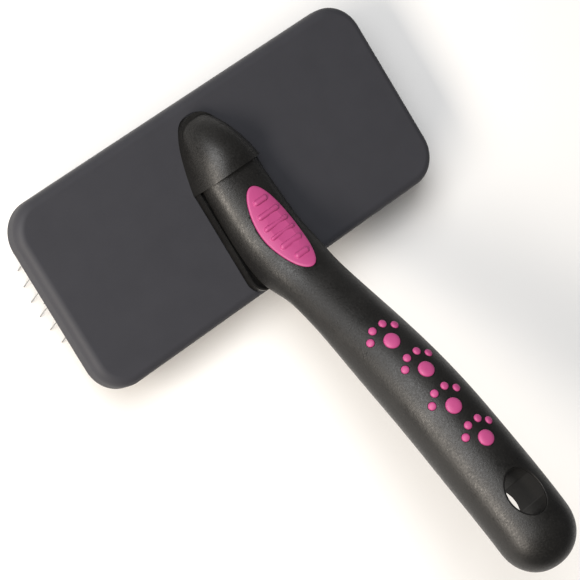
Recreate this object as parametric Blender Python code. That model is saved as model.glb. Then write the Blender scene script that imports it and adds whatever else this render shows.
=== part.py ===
"""Slicker brush for pets: a wide pan of bent steel pins on an arched soft-grip handle.

The datum is the centre of the flat back of the head. Reach is measured from there along the
handle, towards -Y. Z is up, so the pins point down. One empty lifts and shifts the whole brush,
so that it stands on its pin tips with the origin under the middle of its box.
"""

import math

import bmesh
import bpy
import numpy as np
from mathutils import Matrix, Vector

MM = 0.001
GAP = 0.3 * MM  # left between pieces that touch

# Head shell: a shallow pan, open underneath
HEAD_LENGTH = 114 * MM
HEAD_WIDTH = 51 * MM
HEAD_CORNER = 8.8 * MM
SKIRT_DEPTH = 5.4 * MM
ROOF = 1.8 * MM
WALL = 1.9 * MM
BACK_EDGE = 2.4 * MM

# Pin bed: cushion, foundation cloth and rows of bent wire pins
PRESS_TRAVEL = 1.2 * MM
CUSHION = 2.0 * MM
FOUNDATION = 1.6 * MM
BED_CLEARANCE = 0.4 * MM
PIN_DEPTH = 19.2 * MM
PIN_WIRE = 0.55 * MM
PIN_KNEE = 5.6 * MM
ROOT_LEAN = math.radians(25)
TIP_LEAN = math.radians(14.5)
ROW_PITCH = 4.1 * MM
ROWS = 11
PIN_PITCH = 7.4 * MM
FIELD_MARGIN = 4.3 * MM
FIELD_END_RADIUS = 37 * MM
CROWN_HEIGHT = 0.7 * MM
TIP_THINNING = 0.8

# Saddle: hood, plate and rails that hold the handle on the back of the head
SADDLE_HALF_WIDTH = 10.4 * MM
SADDLE_SINK = 0.5 * MM
SADDLE_FLOOR = 1.0 * MM
RAIL_TOP = 1.5 * MM
RAIL_WIDTH = 0.8 * MM
SADDLE_CORNER = 4.0 * MM
SADDLE_REAR_MARGIN = 0.5 * MM
HOOD_TIP_MARGIN = 4.1 * MM
HOOD_LENGTH = 17.5 * MM
HOOD_HALF_WIDTH = 10.1 * MM
HOOD_HEIGHT = 10.2 * MM
HOOD_WALL = 1.0 * MM
HOOD_LEAN = 0.9 * MM
HOOD_HOLLOW_SETBACK = 3.4 * MM  # from the hood's tip
HOOD_TIP_INSET = 0.1 * MM
NOSE_BLUNT = 0.12  # share of the half width left at the tip of the plate
HOOD_NOSE = 0.37  # power that rounds the hood's plan outline
HOOD_SHOULDER = 0.9  # power that squares the hood's arch, below 1
HOOD_CROWN = 2.3  # power that drops the hood's crown towards its nose

# Handle
HANDLE_REACH = 113.5 * MM
HANDLE_RISE = 42.15 * MM
END_ROUNDING = 10.5 * MM
END_FULLNESS = 2.15  # power that squares the handle's end
GRIP_SIDE = 1.8 * MM
GRIP_TOP = 2.2 * MM
GRIP_BOTTOM = 1.2 * MM
GRIP_IN_HOOD = 1.8 * MM
GRIP_CLEARANCE = 0.8 * MM  # between the grip's sides and the inside of the hood
FIRST_LIFT = 13.5 * MM  # where the grip starts to lift, measured back from the head's edge
SECOND_LIFT = 8.5 * MM
LAST_LIFT = 4.5 * MM
CORE_WALL = 1.5 * MM
CORE_SETBACK = 7.5 * MM  # from the handle's end
HOLLOW_SETBACK = 18 * MM  # from the neck
SKIN_SETBACK = 0.02 * MM  # keeps the last ring of the grip from closing to a point
TANG_CLEARANCE = 0.5 * MM
TANG_FOOT = 0.8 * MM
TANG_SETBACK = 4.6 * MM  # from the hood's tip
TANG_STEP = 2 * MM
TANG_STEPS = 5
HOLE_SETBACK = 18.3 * MM
HOLE_HALF_LENGTH = 6.3 * MM
HOLE_HALF_WIDTH = 4.9 * MM
LINING_WALL = 0.7 * MM

# Pink inlays
THUMB_SETBACK = 4.7 * MM
THUMB_HALF_LENGTH = 14.0 * MM
THUMB_HALF_WIDTH = 5.0 * MM
THUMB_DEPTH = 1.2 * MM
THUMB_PROUD = 0.25 * MM
RIBS = 6
RIB_PITCH = 4.07 * MM
RIB_RADIUS = 0.85 * MM
RIB_END_MARGIN = 0.5 * MM
INLAY_GAP = 0.2 * MM
INLAY_DEPTH = 0.9 * MM
PAD_RADIUS = 2.07 * MM
PAD_DOME = 0.55 * MM
TOE_RADIUS = 1.03 * MM
TOE_DOME = 0.5 * MM
PAW_PITCH = 10.45 * MM
PAW_HOLE_GAP = 9.2 * MM
PAW_SIDESTEP = 0.6 * MM
TOES = (  # ahead of the pad, to the side of it
    (2.95 * MM, -4.1 * MM),
    (4.85 * MM, -1.7 * MM),
    (4.85 * MM, 1.7 * MM),
    (2.95 * MM, 4.1 * MM),
)
PAWS = 4

# Screws from inside the pan into the tang
SCREW_SIDE = 3.8 * MM
SCREW_FROM_MOUTH = 6.0 * MM
SCREW_RADIUS = 1.4 * MM
SCREW_HEAD_RADIUS = 2.7 * MM
SCREW_HEAD = 1.2 * MM
SCREW_LENGTH = 7.2 * MM

# Places that follow from the sizes above
EDGE = HEAD_WIDTH / 2
HOOD_TIP = HOOD_TIP_MARGIN - EDGE
MOUTH = HOOD_TIP + HOOD_LENGTH
SADDLE_REAR = EDGE - SADDLE_REAR_MARGIN
GRIP_START = MOUTH - GRIP_IN_HOOD
GRIP_FOOT = SADDLE_FLOOR + GAP
CUSHION_TOP = -ROOF - PRESS_TRAVEL - GAP
FOUNDATION_TOP = CUSHION_TOP - CUSHION - GAP
BED_FACE = FOUNDATION_TOP - FOUNDATION

# Handle sections: reach, height of the widest line, half width, thickness above and below it.
# The first rows lie over the head, and the arm's rows are shares of its run past the edge.
NECK = EDGE + 0.5 * MM
NECK_HEIGHT = 10.1 * MM
GRIP_AT_HOOD = HOOD_HALF_WIDTH - HOOD_WALL - GRIP_CLEARANCE
SEAT_SECTIONS = (
    (GRIP_START - 1 * MM, 3.2 * MM, GRIP_AT_HOOD, 4.7 * MM),
    (MOUTH, 3.25 * MM, GRIP_AT_HOOD + 0.1 * MM, 4.9 * MM),
    ((MOUTH + EDGE - FIRST_LIFT) / 2, 3.5 * MM, 8.95 * MM, 5.4 * MM),
    (EDGE - FIRST_LIFT, 4.3 * MM, 9.3 * MM, 5.7 * MM),
    (EDGE - SECOND_LIFT, 5.6 * MM, 9.3 * MM, 5.75 * MM),
    (EDGE - LAST_LIFT, 7.4 * MM, 9.1 * MM, 5.6 * MM),
    (NECK, NECK_HEIGHT, 8.6 * MM, 5.35 * MM),
)
ARM_SECTIONS = (
    (0.114, 0.181, 8.65 * MM, 5.45 * MM),
    (0.275, 0.400, 9.5 * MM, 7.15 * MM),
    (0.457, 0.615, 10.1 * MM, 8.2 * MM),
    (0.640, 0.777, 10.35 * MM, 8.4 * MM),
    (0.823, 0.921, 10.45 * MM, 8.2 * MM),
    (0.937, 0.983, 10.45 * MM, 7.9 * MM),
    (1.0, 1.0, 10.4 * MM, 7.5 * MM),
)
SEAT_KEEL = (1.9 * MM, 1.95 * MM, 2.2 * MM, 3.0 * MM, 4.0 * MM, 4.75 * MM, 5.0 * MM)


def arm_section(run, rise, half_width, half_thickness):
    reach = NECK + run * (HANDLE_REACH - NECK)
    height = NECK_HEIGHT + rise * (HANDLE_RISE - NECK_HEIGHT)
    return reach, height, half_width, half_thickness, half_thickness


SEAT = tuple((*row, keel) for row, keel in zip(SEAT_SECTIONS, SEAT_KEEL))
SECTIONS = np.array(SEAT + tuple(arm_section(*row) for row in ARM_SECTIONS))


# ---------------------------------------------------------------- curves and meshes


def spline_slopes(knots, values):
    """Slopes of the natural cubic spline through the values."""
    count = len(knots)
    step = np.diff(knots)
    matrix = np.zeros((count, count))
    right = np.zeros(count)
    matrix[0, :2] = 2, 1
    matrix[-1, -2:] = 1, 2
    right[0] = 3 * (values[1] - values[0]) / step[0]
    right[-1] = 3 * (values[-1] - values[-2]) / step[-1]
    for i in range(1, count - 1):
        before, after = 1 / step[i - 1], 1 / step[i]
        matrix[i, i - 1 : i + 2] = before, 2 * (before + after), after
        rise_before = (values[i] - values[i - 1]) * before**2
        rise_after = (values[i + 1] - values[i]) * after**2
        right[i] = 3 * (rise_before + rise_after)
    return np.linalg.solve(matrix, right)


SLOPES = [spline_slopes(SECTIONS[:, 0], SECTIONS[:, column]) for column in range(1, 5)]


def spline(reach, column):
    """The value and slope of one column of SECTIONS at this reach."""
    knots, values, slopes = SECTIONS[:, 0], SECTIONS[:, column], SLOPES[column - 1]
    i = int(np.clip(np.searchsorted(knots, reach) - 1, 0, len(knots) - 2))
    step = knots[i + 1] - knots[i]
    t = (reach - knots[i]) / step
    a = values[i + 1] - values[i] - slopes[i] * step
    b = slopes[i + 1] * step - (values[i + 1] - values[i])
    value = values[i] + t * (slopes[i] * step + t * ((2 * a - b) + t * (b - a)))
    slope = slopes[i] + (t * 2 * (2 * a - b) + 3 * t * t * (b - a)) / step
    return float(value), float(slope)


def blend(value, start, end):
    """0 before start, 1 after end, smooth between."""
    t = min(max((value - start) / (end - start), 0.0), 1.0)
    return t * t * (3 - 2 * t)


class Section:
    """The handle's outer cross-section at one reach: flat-footed over the head, oval beyond."""

    def __init__(self, reach):
        height, slope = spline(reach, 1)
        past = (reach - (HANDLE_REACH - END_ROUNDING)) / END_ROUNDING
        round_off = (1 - min(max(past, 0.0), 1.0) ** END_FULLNESS) ** (1 / END_FULLNESS)
        self.centre = Vector((0, -reach, height))
        self.along = Vector((0, -1, slope)).normalized()
        self.up = Vector((0, slope, 1)).normalized()
        self.half_width = spline(reach, 2)[0] * round_off
        self.crown = spline(reach, 3)[0] * round_off
        self.keel = spline(reach, 4)[0] * round_off
        lifted = blend(reach, EDGE - FIRST_LIFT, EDGE)
        self.top_power = 2.15 - 0.15 * lifted
        self.foot_power = 5 - 3 * lifted

    def ring(self, side=0.0, top=0.0, bottom=0.0, points=24):
        """Points round the section, inset by a side, top and bottom wall."""
        found = []
        for i in range(points):
            angle = 2 * math.pi * (i + 0.5) / points
            across, rise = math.cos(angle), math.sin(angle)
            power = 2 / (self.top_power if rise > 0 else self.foot_power)
            reach_up = self.crown - top if rise > 0 else self.keel - bottom
            x = math.copysign(abs(across) ** power, across) * (self.half_width - side)
            v = math.copysign(abs(rise) ** power, rise) * reach_up
            found.append(self.centre + Vector((x, 0, 0)) + self.up * v)
        return found

    def on_top(self, across, lift=0.0):
        """The point of the upper surface at this X, lifted along its normal, and the normal."""
        power = self.top_power
        share = min(abs(across) / self.half_width, 0.999)
        height = (1 - share**power) ** (1 / power)
        normal = Vector((math.copysign(share ** (power - 1) / self.half_width, across), 0, 0))
        normal += self.up * (height ** (power - 1) / self.crown)
        normal.normalize()
        point = self.centre + Vector((across, 0, 0)) + self.up * (height * self.crown)
        return point + normal * lift, normal


REACHES = np.linspace(GRIP_START, HANDLE_REACH, 500)
HEIGHTS = np.array([spline(reach, 1)[0] for reach in REACHES])
DISTANCES = np.concatenate([[0], np.cumsum(np.hypot(np.diff(REACHES), np.diff(HEIGHTS)))])


def reach_at(distance):
    """The reach of the point this far along the handle's centre line."""
    return float(np.interp(distance, DISTANCES, REACHES))


def distance_at(reach):
    return float(np.interp(reach, REACHES, DISTANCES))


def loft(name, rings):
    """A closed mesh through rings of points, with a flat cap on its first and last ring."""
    bm = bmesh.new()
    loops = [[bm.verts.new(point) for point in ring] for ring in rings]
    count = len(loops[0])
    for low, high in zip(loops, loops[1:]):
        for i in range(count):
            j = (i + 1) % count
            bm.faces.new((low[i], low[j], high[j], high[i]))
    bm.faces.new(loops[0][::-1])
    bm.faces.new(loops[-1])
    return finish_mesh(name, bm)


def finish_mesh(name, bm, crease=35):
    bmesh.ops.recalc_face_normals(bm, faces=bm.faces)
    mesh = bpy.data.meshes.new(name)
    bm.to_mesh(mesh)
    bm.free()
    mesh.shade_smooth()
    mesh.set_sharp_from_angle(angle=math.radians(crease))
    return mesh


def turned(name, profile, segments):
    """A solid of revolution about Z from (radius, z) pairs, bottom to top."""
    rings = []
    for radius, z in profile:
        angles = (2 * math.pi * i / segments for i in range(segments))
        rings.append([(radius * math.cos(a), radius * math.sin(a), z) for a in angles])
    return loft(name, rings)


def rounded_rectangle(length, width, radius, z, per_corner=6):
    ring = []
    for corner in range(4):
        sx = 1 if corner in (0, 3) else -1
        sy = 1 if corner in (0, 1) else -1
        centre = (sx * (length / 2 - radius), sy * (width / 2 - radius))
        for i in range(per_corner):
            angle = math.pi / 2 * (corner + i / (per_corner - 1))
            x = centre[0] + radius * math.cos(angle)
            y = centre[1] + radius * math.sin(angle)
            ring.append((x, y, z))
    return ring


def prism(name, outline, low, high):
    return loft(name, [[(x, y, low) for x, y in outline], [(x, y, high) for x, y in outline]])


# ---------------------------------------------------------------- objects


def add(name, mesh, parent, material=None, matrix=None):
    item = bpy.data.objects.new(name, mesh)
    bpy.context.scene.collection.objects.link(item)
    item.parent = parent
    if matrix is not None:
        item.matrix_local = matrix
    if material is not None:
        mesh.materials.append(material)
    return item


def add_helper(name, mesh, parent, matrix=None):
    """A cutter or joining shape, which isn't a piece itself."""
    item = add(name, mesh, parent, matrix=matrix)
    item.hide_render = True
    item.display_type = "WIRE"
    return item


def combine(item, helper, operation="DIFFERENCE"):
    modifier = item.modifiers.new(helper.name, "BOOLEAN")
    modifier.operation = operation
    modifier.solver = "EXACT"
    modifier.object = helper


def frame_on(point, normal, along):
    """A placing matrix with Z along the normal and Y along the given direction."""
    side = along.cross(normal).normalized()
    forward = normal.cross(side)
    rotation = Matrix((side, forward, normal)).transposed().to_4x4()
    return Matrix.Translation(point) @ rotation


def material(name, colour, roughness, metallic=0.0):
    made = bpy.data.materials.new(name)
    made.use_nodes = True
    made.diffuse_color = (*colour, 1)
    shader = made.node_tree.nodes["Principled BSDF"]
    shader.inputs["Base Color"].default_value = (*colour, 1)
    shader.inputs["Roughness"].default_value = roughness
    shader.inputs["Metallic"].default_value = metallic
    return made


# ---------------------------------------------------------------- head


def head_rings():
    """The pan in one sweep: inner roof, inner wall, rim, outer wall, rounded back edge."""
    inner = (HEAD_LENGTH - 2 * WALL, HEAD_WIDTH - 2 * WALL, HEAD_CORNER - WALL)
    rings = [
        rounded_rectangle(*inner, -ROOF),
        rounded_rectangle(*inner, -SKIRT_DEPTH),
        rounded_rectangle(HEAD_LENGTH, HEAD_WIDTH, HEAD_CORNER, -SKIRT_DEPTH),
    ]
    steps = 4
    for i in range(steps + 1):
        angle = math.pi / 2 * i / steps
        inset = BACK_EDGE * (1 - math.cos(angle))
        z = -BACK_EDGE * (1 - math.sin(angle))
        size = (HEAD_LENGTH - 2 * inset, HEAD_WIDTH - 2 * inset, HEAD_CORNER - inset)
        rings.append(rounded_rectangle(*size, z))
    return rings


def saddle_outline(grow, nose_points=12, corner_points=5):
    """Plan outline of the saddle's foot, grown outwards: a nose ahead, round corners behind."""
    half = SADDLE_HALF_WIDTH + grow
    tip, rear = HOOD_TIP - grow, SADDLE_REAR + grow
    corner = SADDLE_CORNER + grow
    side = []
    for i in range(nose_points):
        share = math.sin(math.pi / 2 * i / nose_points)
        reach = MOUTH + (tip - MOUTH) * share
        side.append((half * (1 - share) ** HOOD_NOSE, reach))
    side.append((NOSE_BLUNT * half, tip))
    side.reverse()
    for i in range(corner_points):
        angle = math.pi / 2 * i / (corner_points - 1)
        x = half - corner * (1 - math.cos(angle))
        side.append((x, rear - corner * (1 - math.sin(angle))))
    right = [(x, -reach) for x, reach in side]
    left = [(-x, y) for x, y in reversed(right)]
    return right + left


def hood_section(reach, wall=0.0):
    """Half width and crown height of the hood, inset by a wall."""
    share = min(max((MOUTH - reach) / HOOD_LENGTH, 0.0), 0.995)
    half_width = HOOD_HALF_WIDTH * (1 - share) ** HOOD_NOSE
    crown = HOOD_HEIGHT * (1 - share**HOOD_CROWN) ** 0.8
    return half_width - wall, crown - wall


def hood_arch(reach, wall, base, lean=0.0, points=16):
    half_width, crown = hood_section(reach, wall)
    ring = []
    for i in range(points):
        angle = math.pi * i / (points - 1)
        across, rise = math.cos(angle), math.sin(angle) ** HOOD_SHOULDER
        x = half_width * math.copysign(abs(across) ** HOOD_SHOULDER, across)
        z = base + (crown - base) * rise
        y = -reach + lean * (z - base) / HOOD_HEIGHT
        ring.append((x, y, z))
    return ring


def hood_rings(wall, base, start, end, steps=9):
    """Arches from the mouth to the nose, the first one leaning back with the mouth."""
    rings = []
    for i in range(steps + 1):
        share = math.sin(math.pi / 2 * i / steps)
        lean = HOOD_LEAN * (1 - share)
        rings.append(hood_arch(start + (end - start) * share, wall, base, lean))
    return rings


def tray_outline(corner_points=5):
    """Plan outline of the room between the rails, from the hood's mouth to the rear corners."""
    half = SADDLE_HALF_WIDTH - RAIL_WIDTH
    rear = SADDLE_REAR - RAIL_WIDTH
    corner = SADDLE_CORNER - RAIL_WIDTH
    side = [(half, MOUTH - GAP)]
    for i in range(corner_points):
        angle = math.pi / 2 * i / (corner_points - 1)
        x = half - corner * (1 - math.cos(angle))
        side.append((x, rear - corner * (1 - math.sin(angle))))
    right = [(x, -reach) for x, reach in side]
    left = [(-x, y) for x, y in reversed(right)]
    return right + left


def build_head(datum, looks):
    shell = add("head_shell", loft("head_shell", head_rings()), datum, looks["shell"])
    seat = prism("saddle_seat", saddle_outline(GAP), -SADDLE_SINK, BACK_EDGE)
    combine(shell, add_helper("saddle_seat", seat, datum))

    foot = GAP - SADDLE_SINK
    plate = prism("handle_saddle", saddle_outline(0), foot, RAIL_TOP)
    saddle = add("handle_saddle", plate, datum, looks["soft"])
    hood = loft("hood", hood_rings(0, foot + GAP, MOUTH, HOOD_TIP + HOOD_TIP_INSET))
    combine(saddle, add_helper("hood", hood, datum), "UNION")
    hollow_tip = HOOD_TIP + HOOD_HOLLOW_SETBACK
    inside = hood_rings(HOOD_WALL, SADDLE_FLOOR, MOUTH + 1 * MM, hollow_tip)
    combine(saddle, add_helper("hood_inside", loft("hood_inside", inside), datum))
    low = SADDLE_FLOOR - 0.1 * MM
    tray = prism("grip_tray", tray_outline(), low, HOOD_HEIGHT / 2)
    combine(saddle, add_helper("grip_tray", tray, datum))
    return shell, saddle


# ---------------------------------------------------------------- handle


def handle_reaches(start, end, steps):
    """Reaches from start to end, closer together where the end rounds off."""
    shoulder = HANDLE_REACH - END_ROUNDING
    straight = [start + (min(end, shoulder) - start) * i / steps for i in range(steps + 1)]
    if end <= shoulder:
        return straight
    turn = math.asin(min((end - shoulder) / END_ROUNDING, 1.0))
    return straight + [shoulder + END_ROUNDING * math.sin(turn * i / 5) for i in range(1, 6)]


def handle_form(name, start, end, walls, steps=14, points=18):
    rings = [Section(reach).ring(*walls, points) for reach in handle_reaches(start, end, steps)]
    return loft(name, rings)


def tang_ring(reach, points=18):
    """The core's plug inside the hood: a flat foot under an arch."""
    half_width, crown = hood_section(reach, HOOD_WALL + TANG_CLEARANCE)
    section = Section(GRIP_START)
    low = GRIP_FOOT + GAP
    section.centre = Vector((0, -reach, low + TANG_FOOT))
    section.up = Vector((0, 0, 1))
    section.half_width = half_width
    section.crown = crown - low - TANG_FOOT
    section.keel = TANG_FOOT
    section.top_power = 2
    return section.ring(points=points)


def hole_frame():
    section = Section(HANDLE_REACH - HOLE_SETBACK)
    return frame_on(section.centre, section.up, section.along)


def oval(name, half_width, half_length, reach_each_way, points=28):
    outline = []
    for i in range(points):
        angle = 2 * math.pi * i / points
        outline.append((half_width * math.cos(angle), half_length * math.sin(angle)))
    return prism(name, outline, -reach_each_way, reach_each_way)


def build_handle(datum, looks):
    grip_walls = (GRIP_SIDE, GRIP_TOP, GRIP_BOTTOM)
    core_walls = tuple(wall + GAP for wall in grip_walls)
    hollow_walls = tuple(wall + CORE_WALL for wall in core_walls)
    last = HANDLE_REACH - SKIN_SETBACK
    inner_end = HANDLE_REACH - CORE_SETBACK

    grip_mesh = handle_form("handle_grip", GRIP_START, last, (0, 0, 0), 20, 24)
    grip = add("handle_grip", grip_mesh, datum, looks["soft"])
    room = handle_form("core_room", GRIP_START - 1 * MM, inner_end, grip_walls)
    combine(grip, add_helper("core_room", room, datum))

    tang_end = GRIP_START - 2 * GAP
    tang_reaches = [HOOD_TIP + TANG_SETBACK + TANG_STEP * i for i in range(TANG_STEPS)]
    rings = [tang_ring(reach) for reach in (*tang_reaches, tang_end) if reach <= tang_end]
    reaches = handle_reaches(tang_end, inner_end - GAP, 14)
    rings += [Section(reach).ring(*core_walls, 18) for reach in reaches]
    core = add("handle_core", loft("handle_core", rings), datum, looks["core"])
    hollow_end = HANDLE_REACH - HOLE_SETBACK
    hollow_start = NECK + HOLLOW_SETBACK
    hollow = handle_form("core_hollow", hollow_start, hollow_end, hollow_walls, 6, 12)
    combine(core, add_helper("core_hollow", hollow, datum))

    size = (HOLE_HALF_WIDTH, HOLE_HALF_LENGTH)
    deep = 3 * SECTIONS[:, 3].max()
    grip_hole = oval("grip_hole", size[0], size[1], deep)
    combine(grip, add_helper("grip_hole", grip_hole, datum, hole_frame()))
    core_hole = oval("core_hole", size[0] + GAP, size[1] + GAP, deep)
    combine(core, add_helper("core_hole", core_hole, datum, hole_frame()))

    outer = (size[0] - INLAY_GAP, size[1] - INLAY_GAP)
    lining_mesh = oval("hang_hole_lining", *outer, deep)
    lining = add("hang_hole_lining", lining_mesh, datum, looks["core"], hole_frame())
    bore = oval("lining_bore", outer[0] - LINING_WALL, outer[1] - LINING_WALL, 2 * deep)
    combine(lining, add_helper("lining_bore", bore, datum, hole_frame()))
    skin = handle_form("grip_skin", GRIP_START, last, (0, 0, 0), 20, 24)
    combine(lining, add_helper("grip_skin", skin, datum), "INTERSECT")
    return grip, core


# ---------------------------------------------------------------- pink inlays


def leaf_ring(centre, share, lift, grow=0.0, points=26):
    """A ring of the thumb rest's oval, laid on the grip."""
    ring = []
    for i in range(points):
        angle = 2 * math.pi * i / points
        distance = centre + share * (THUMB_HALF_LENGTH + grow) * math.cos(angle)
        across = share * (THUMB_HALF_WIDTH + grow) * math.sin(angle)
        ring.append(Section(reach_at(distance)).on_top(across, lift)[0])
    return ring


def rib_solid(bm, centre, offset):
    """One round-ended rib across the thumb rest."""
    room = THUMB_HALF_WIDTH * math.sqrt(1 - (offset / THUMB_HALF_LENGTH) ** 2)
    half = room - RIB_RADIUS - RIB_END_MARGIN
    section = Section(reach_at(centre + offset))
    stations = [(-half, angle) for angle in (-80, -45)] + [(-half, 0), (0, 0), (half, 0)]
    stations += [(half, angle) for angle in (45, 80)]
    loops = []
    for across, angle in stations:
        turn = math.radians(angle)
        radius = RIB_RADIUS * math.cos(turn)
        middle, normal = section.on_top(across + RIB_RADIUS * math.sin(turn), THUMB_PROUD)
        loop = []
        for i in range(8):
            around = 2 * math.pi * (i + 0.5) / 8
            lift = normal * (math.sin(around) * radius * 0.9)
            loop.append(bm.verts.new(middle + section.along * (math.cos(around) * radius) + lift))
        loops.append(loop)
    for low, high in zip(loops, loops[1:]):
        for i in range(8):
            j = (i + 1) % 8
            bm.faces.new((low[i], low[j], high[j], high[i]))
    bm.faces.new(loops[0][::-1])
    bm.faces.new(loops[-1])


def build_thumb_rest(datum, looks, grip):
    centre = distance_at(MOUTH + THUMB_SETBACK) + THUMB_HALF_LENGTH
    outer = [leaf_ring(centre, share, -THUMB_DEPTH) for share in (0.1, 0.55, 1.0)]
    outer.append(leaf_ring(centre, 1.0, 0.1 * MM))
    outer += [leaf_ring(centre, share, THUMB_PROUD) for share in (0.94, 0.5, 0.1)]
    rest = add("thumb_rest", loft("thumb_rest", outer), datum, looks["pink"])
    bm = bmesh.new()
    for i in range(RIBS):
        rib_solid(bm, centre, (i - (RIBS - 1) / 2) * RIB_PITCH)
    combine(rest, add_helper("thumb_ribs", finish_mesh("thumb_ribs", bm), datum), "UNION")

    floor = -THUMB_DEPTH - GAP
    pocket = [leaf_ring(centre, share, floor, INLAY_GAP) for share in (0.1, 0.55, 1.0)]
    pocket += [leaf_ring(centre, share, 1.5 * MM, INLAY_GAP) for share in (1.0, 0.5, 0.1)]
    combine(grip, add_helper("thumb_pocket", loft("thumb_pocket", pocket), datum))


def paw_places():
    """Name, placing matrix and size of each pad and toe, walking up the handle to the head."""
    hole_front = distance_at(HANDLE_REACH - HOLE_SETBACK) - HOLE_HALF_LENGTH
    for paw in range(PAWS):
        pad = hole_front - PAW_HOLE_GAP - (PAWS - 1 - paw) * PAW_PITCH
        sidestep = PAW_SIDESTEP * (1 if paw % 2 else -1)
        spots = [(f"paw_{paw + 1}_pad", 0, 0, PAD_RADIUS, PAD_DOME)]
        for toe, (ahead, aside) in enumerate(TOES, 1):
            spots.append((f"paw_{paw + 1}_toe_{toe}", ahead, aside, TOE_RADIUS, TOE_DOME))
        for name, ahead, aside, radius, dome in spots:
            section = Section(reach_at(pad - ahead))
            point, normal = section.on_top(sidestep + aside)
            yield name, frame_on(point, normal, section.along), radius, dome


def button(name, radius, dome):
    """A domed inlay with its stem in the grip."""
    segments = 14 if radius > 1.5 * MM else 9
    profile = [(radius, -INLAY_DEPTH), (radius, 0.05 * MM)]
    profile += [(radius * math.cos(a), dome * math.sin(a)) for a in (0.5, 0.95, 1.35)]
    return turned(name, profile, segments)


def build_paws(datum, looks, grip):
    meshes = {}
    bm = bmesh.new()
    for name, matrix, radius, dome in paw_places():
        if radius not in meshes:
            meshes[radius] = button("paw_button", radius, dome)
            meshes[radius].materials.append(looks["pink"])
        add(name, meshes[radius], datum, matrix=matrix)
        depth = 2 * (INLAY_DEPTH + GAP)
        hole = {"segments": 14 if radius > 1.5 * MM else 9, "cap_ends": True, "depth": depth}
        wide = radius + INLAY_GAP
        bmesh.ops.create_cone(bm, radius1=wide, radius2=wide, matrix=matrix, **hole)
    combine(grip, add_helper("paw_pockets", finish_mesh("paw_pockets", bm), datum))


# ---------------------------------------------------------------- pin bed and screws


def screw_places():
    reach = MOUTH - SCREW_FROM_MOUTH
    return [(-SCREW_SIDE, -reach), (SCREW_SIDE, -reach)]


def build_screws(datum, looks, drilled):
    head_low = -ROOF - GAP - SCREW_HEAD
    profile = [
        (SCREW_HEAD_RADIUS * 0.8, head_low),
        (SCREW_HEAD_RADIUS, head_low + 0.3 * MM),
        (SCREW_HEAD_RADIUS, -ROOF - GAP),
        (SCREW_RADIUS, -ROOF - GAP),
        (SCREW_RADIUS, SCREW_LENGTH - ROOF - 1 * MM),
        (SCREW_RADIUS * 0.3, SCREW_LENGTH - ROOF),
    ]
    shape = turned("saddle_screw", profile, 14)
    shape.materials.append(looks["steel"])
    wide = SCREW_RADIUS + INLAY_GAP
    bores = turned("screw_bore", [(wide, -2 * ROOF), (wide, SCREW_LENGTH - ROOF + GAP)], 14)
    for side, (x, y) in zip(("left", "right"), screw_places()):
        spot = Matrix.Translation((x, y, 0))
        add("saddle_screw_" + side, shape, datum, matrix=spot)
        bore = add_helper("screw_bore_" + side, bores, datum, spot)
        for piece in drilled:
            combine(piece, bore)


def row_half_length(y):
    """Half length of a pin row: the field's ends are arcs."""
    sagitta = FIELD_END_RADIUS - math.sqrt(FIELD_END_RADIUS**2 - y**2)
    return HEAD_LENGTH / 2 - FIELD_MARGIN - sagitta


def pin_row_mesh(name, count):
    """One comb: a crown wire with bent pins, the crown's lower face at z = 0."""
    bm = bmesh.new()
    half = PIN_WIRE / 2
    spots = [(i - (count - 1) / 2) * PIN_PITCH for i in range(count)]
    corners = [x + side for x in spots for side in (-half, half)]
    near = [bm.verts.new((x, -half, 0)) for x in corners]
    far = [bm.verts.new((x, half, 0)) for x in corners]
    ends = (corners[0], corners[-1])
    around = ((ends[0], -half), (ends[1], -half), (ends[1], half), (ends[0], half))
    top = [bm.verts.new((x, y, CROWN_HEIGHT)) for x, y in around]
    bm.faces.new(top)
    bm.faces.new([*near[::-1], top[0], top[1]])
    bm.faces.new([*far, top[2], top[3]])
    bm.faces.new((near[0], far[0], top[3], top[0]))
    bm.faces.new((near[-1], top[1], top[2], far[-1]))
    knee_shift = PIN_KNEE * math.tan(ROOT_LEAN)
    tip_drop = PIN_DEPTH + BED_FACE
    tip_shift = knee_shift - (tip_drop - PIN_KNEE) * math.tan(TIP_LEAN)
    square = ((-half, -half), (half, -half), (half, half), (-half, half))
    bends = ((knee_shift, PIN_KNEE, 1), (tip_shift, tip_drop, TIP_THINNING))
    for i in range(count):
        left = 2 * i
        right = left + 1
        loop = [near[left], near[right], far[right], far[left]]
        for shift, drop, thin in bends:
            below = []
            for x, y in square:
                below.append(bm.verts.new((spots[i] + thin * x, shift + thin * y, -drop)))
            for k in range(4):
                m = (k + 1) % 4
                bm.faces.new((loop[k], loop[m], below[m], below[k]))
            loop = below
        bm.faces.new(loop)
        if i + 1 < count:
            bm.faces.new((near[right], near[right + 1], far[right + 1], far[right]))
    return finish_mesh(name, bm)


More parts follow.
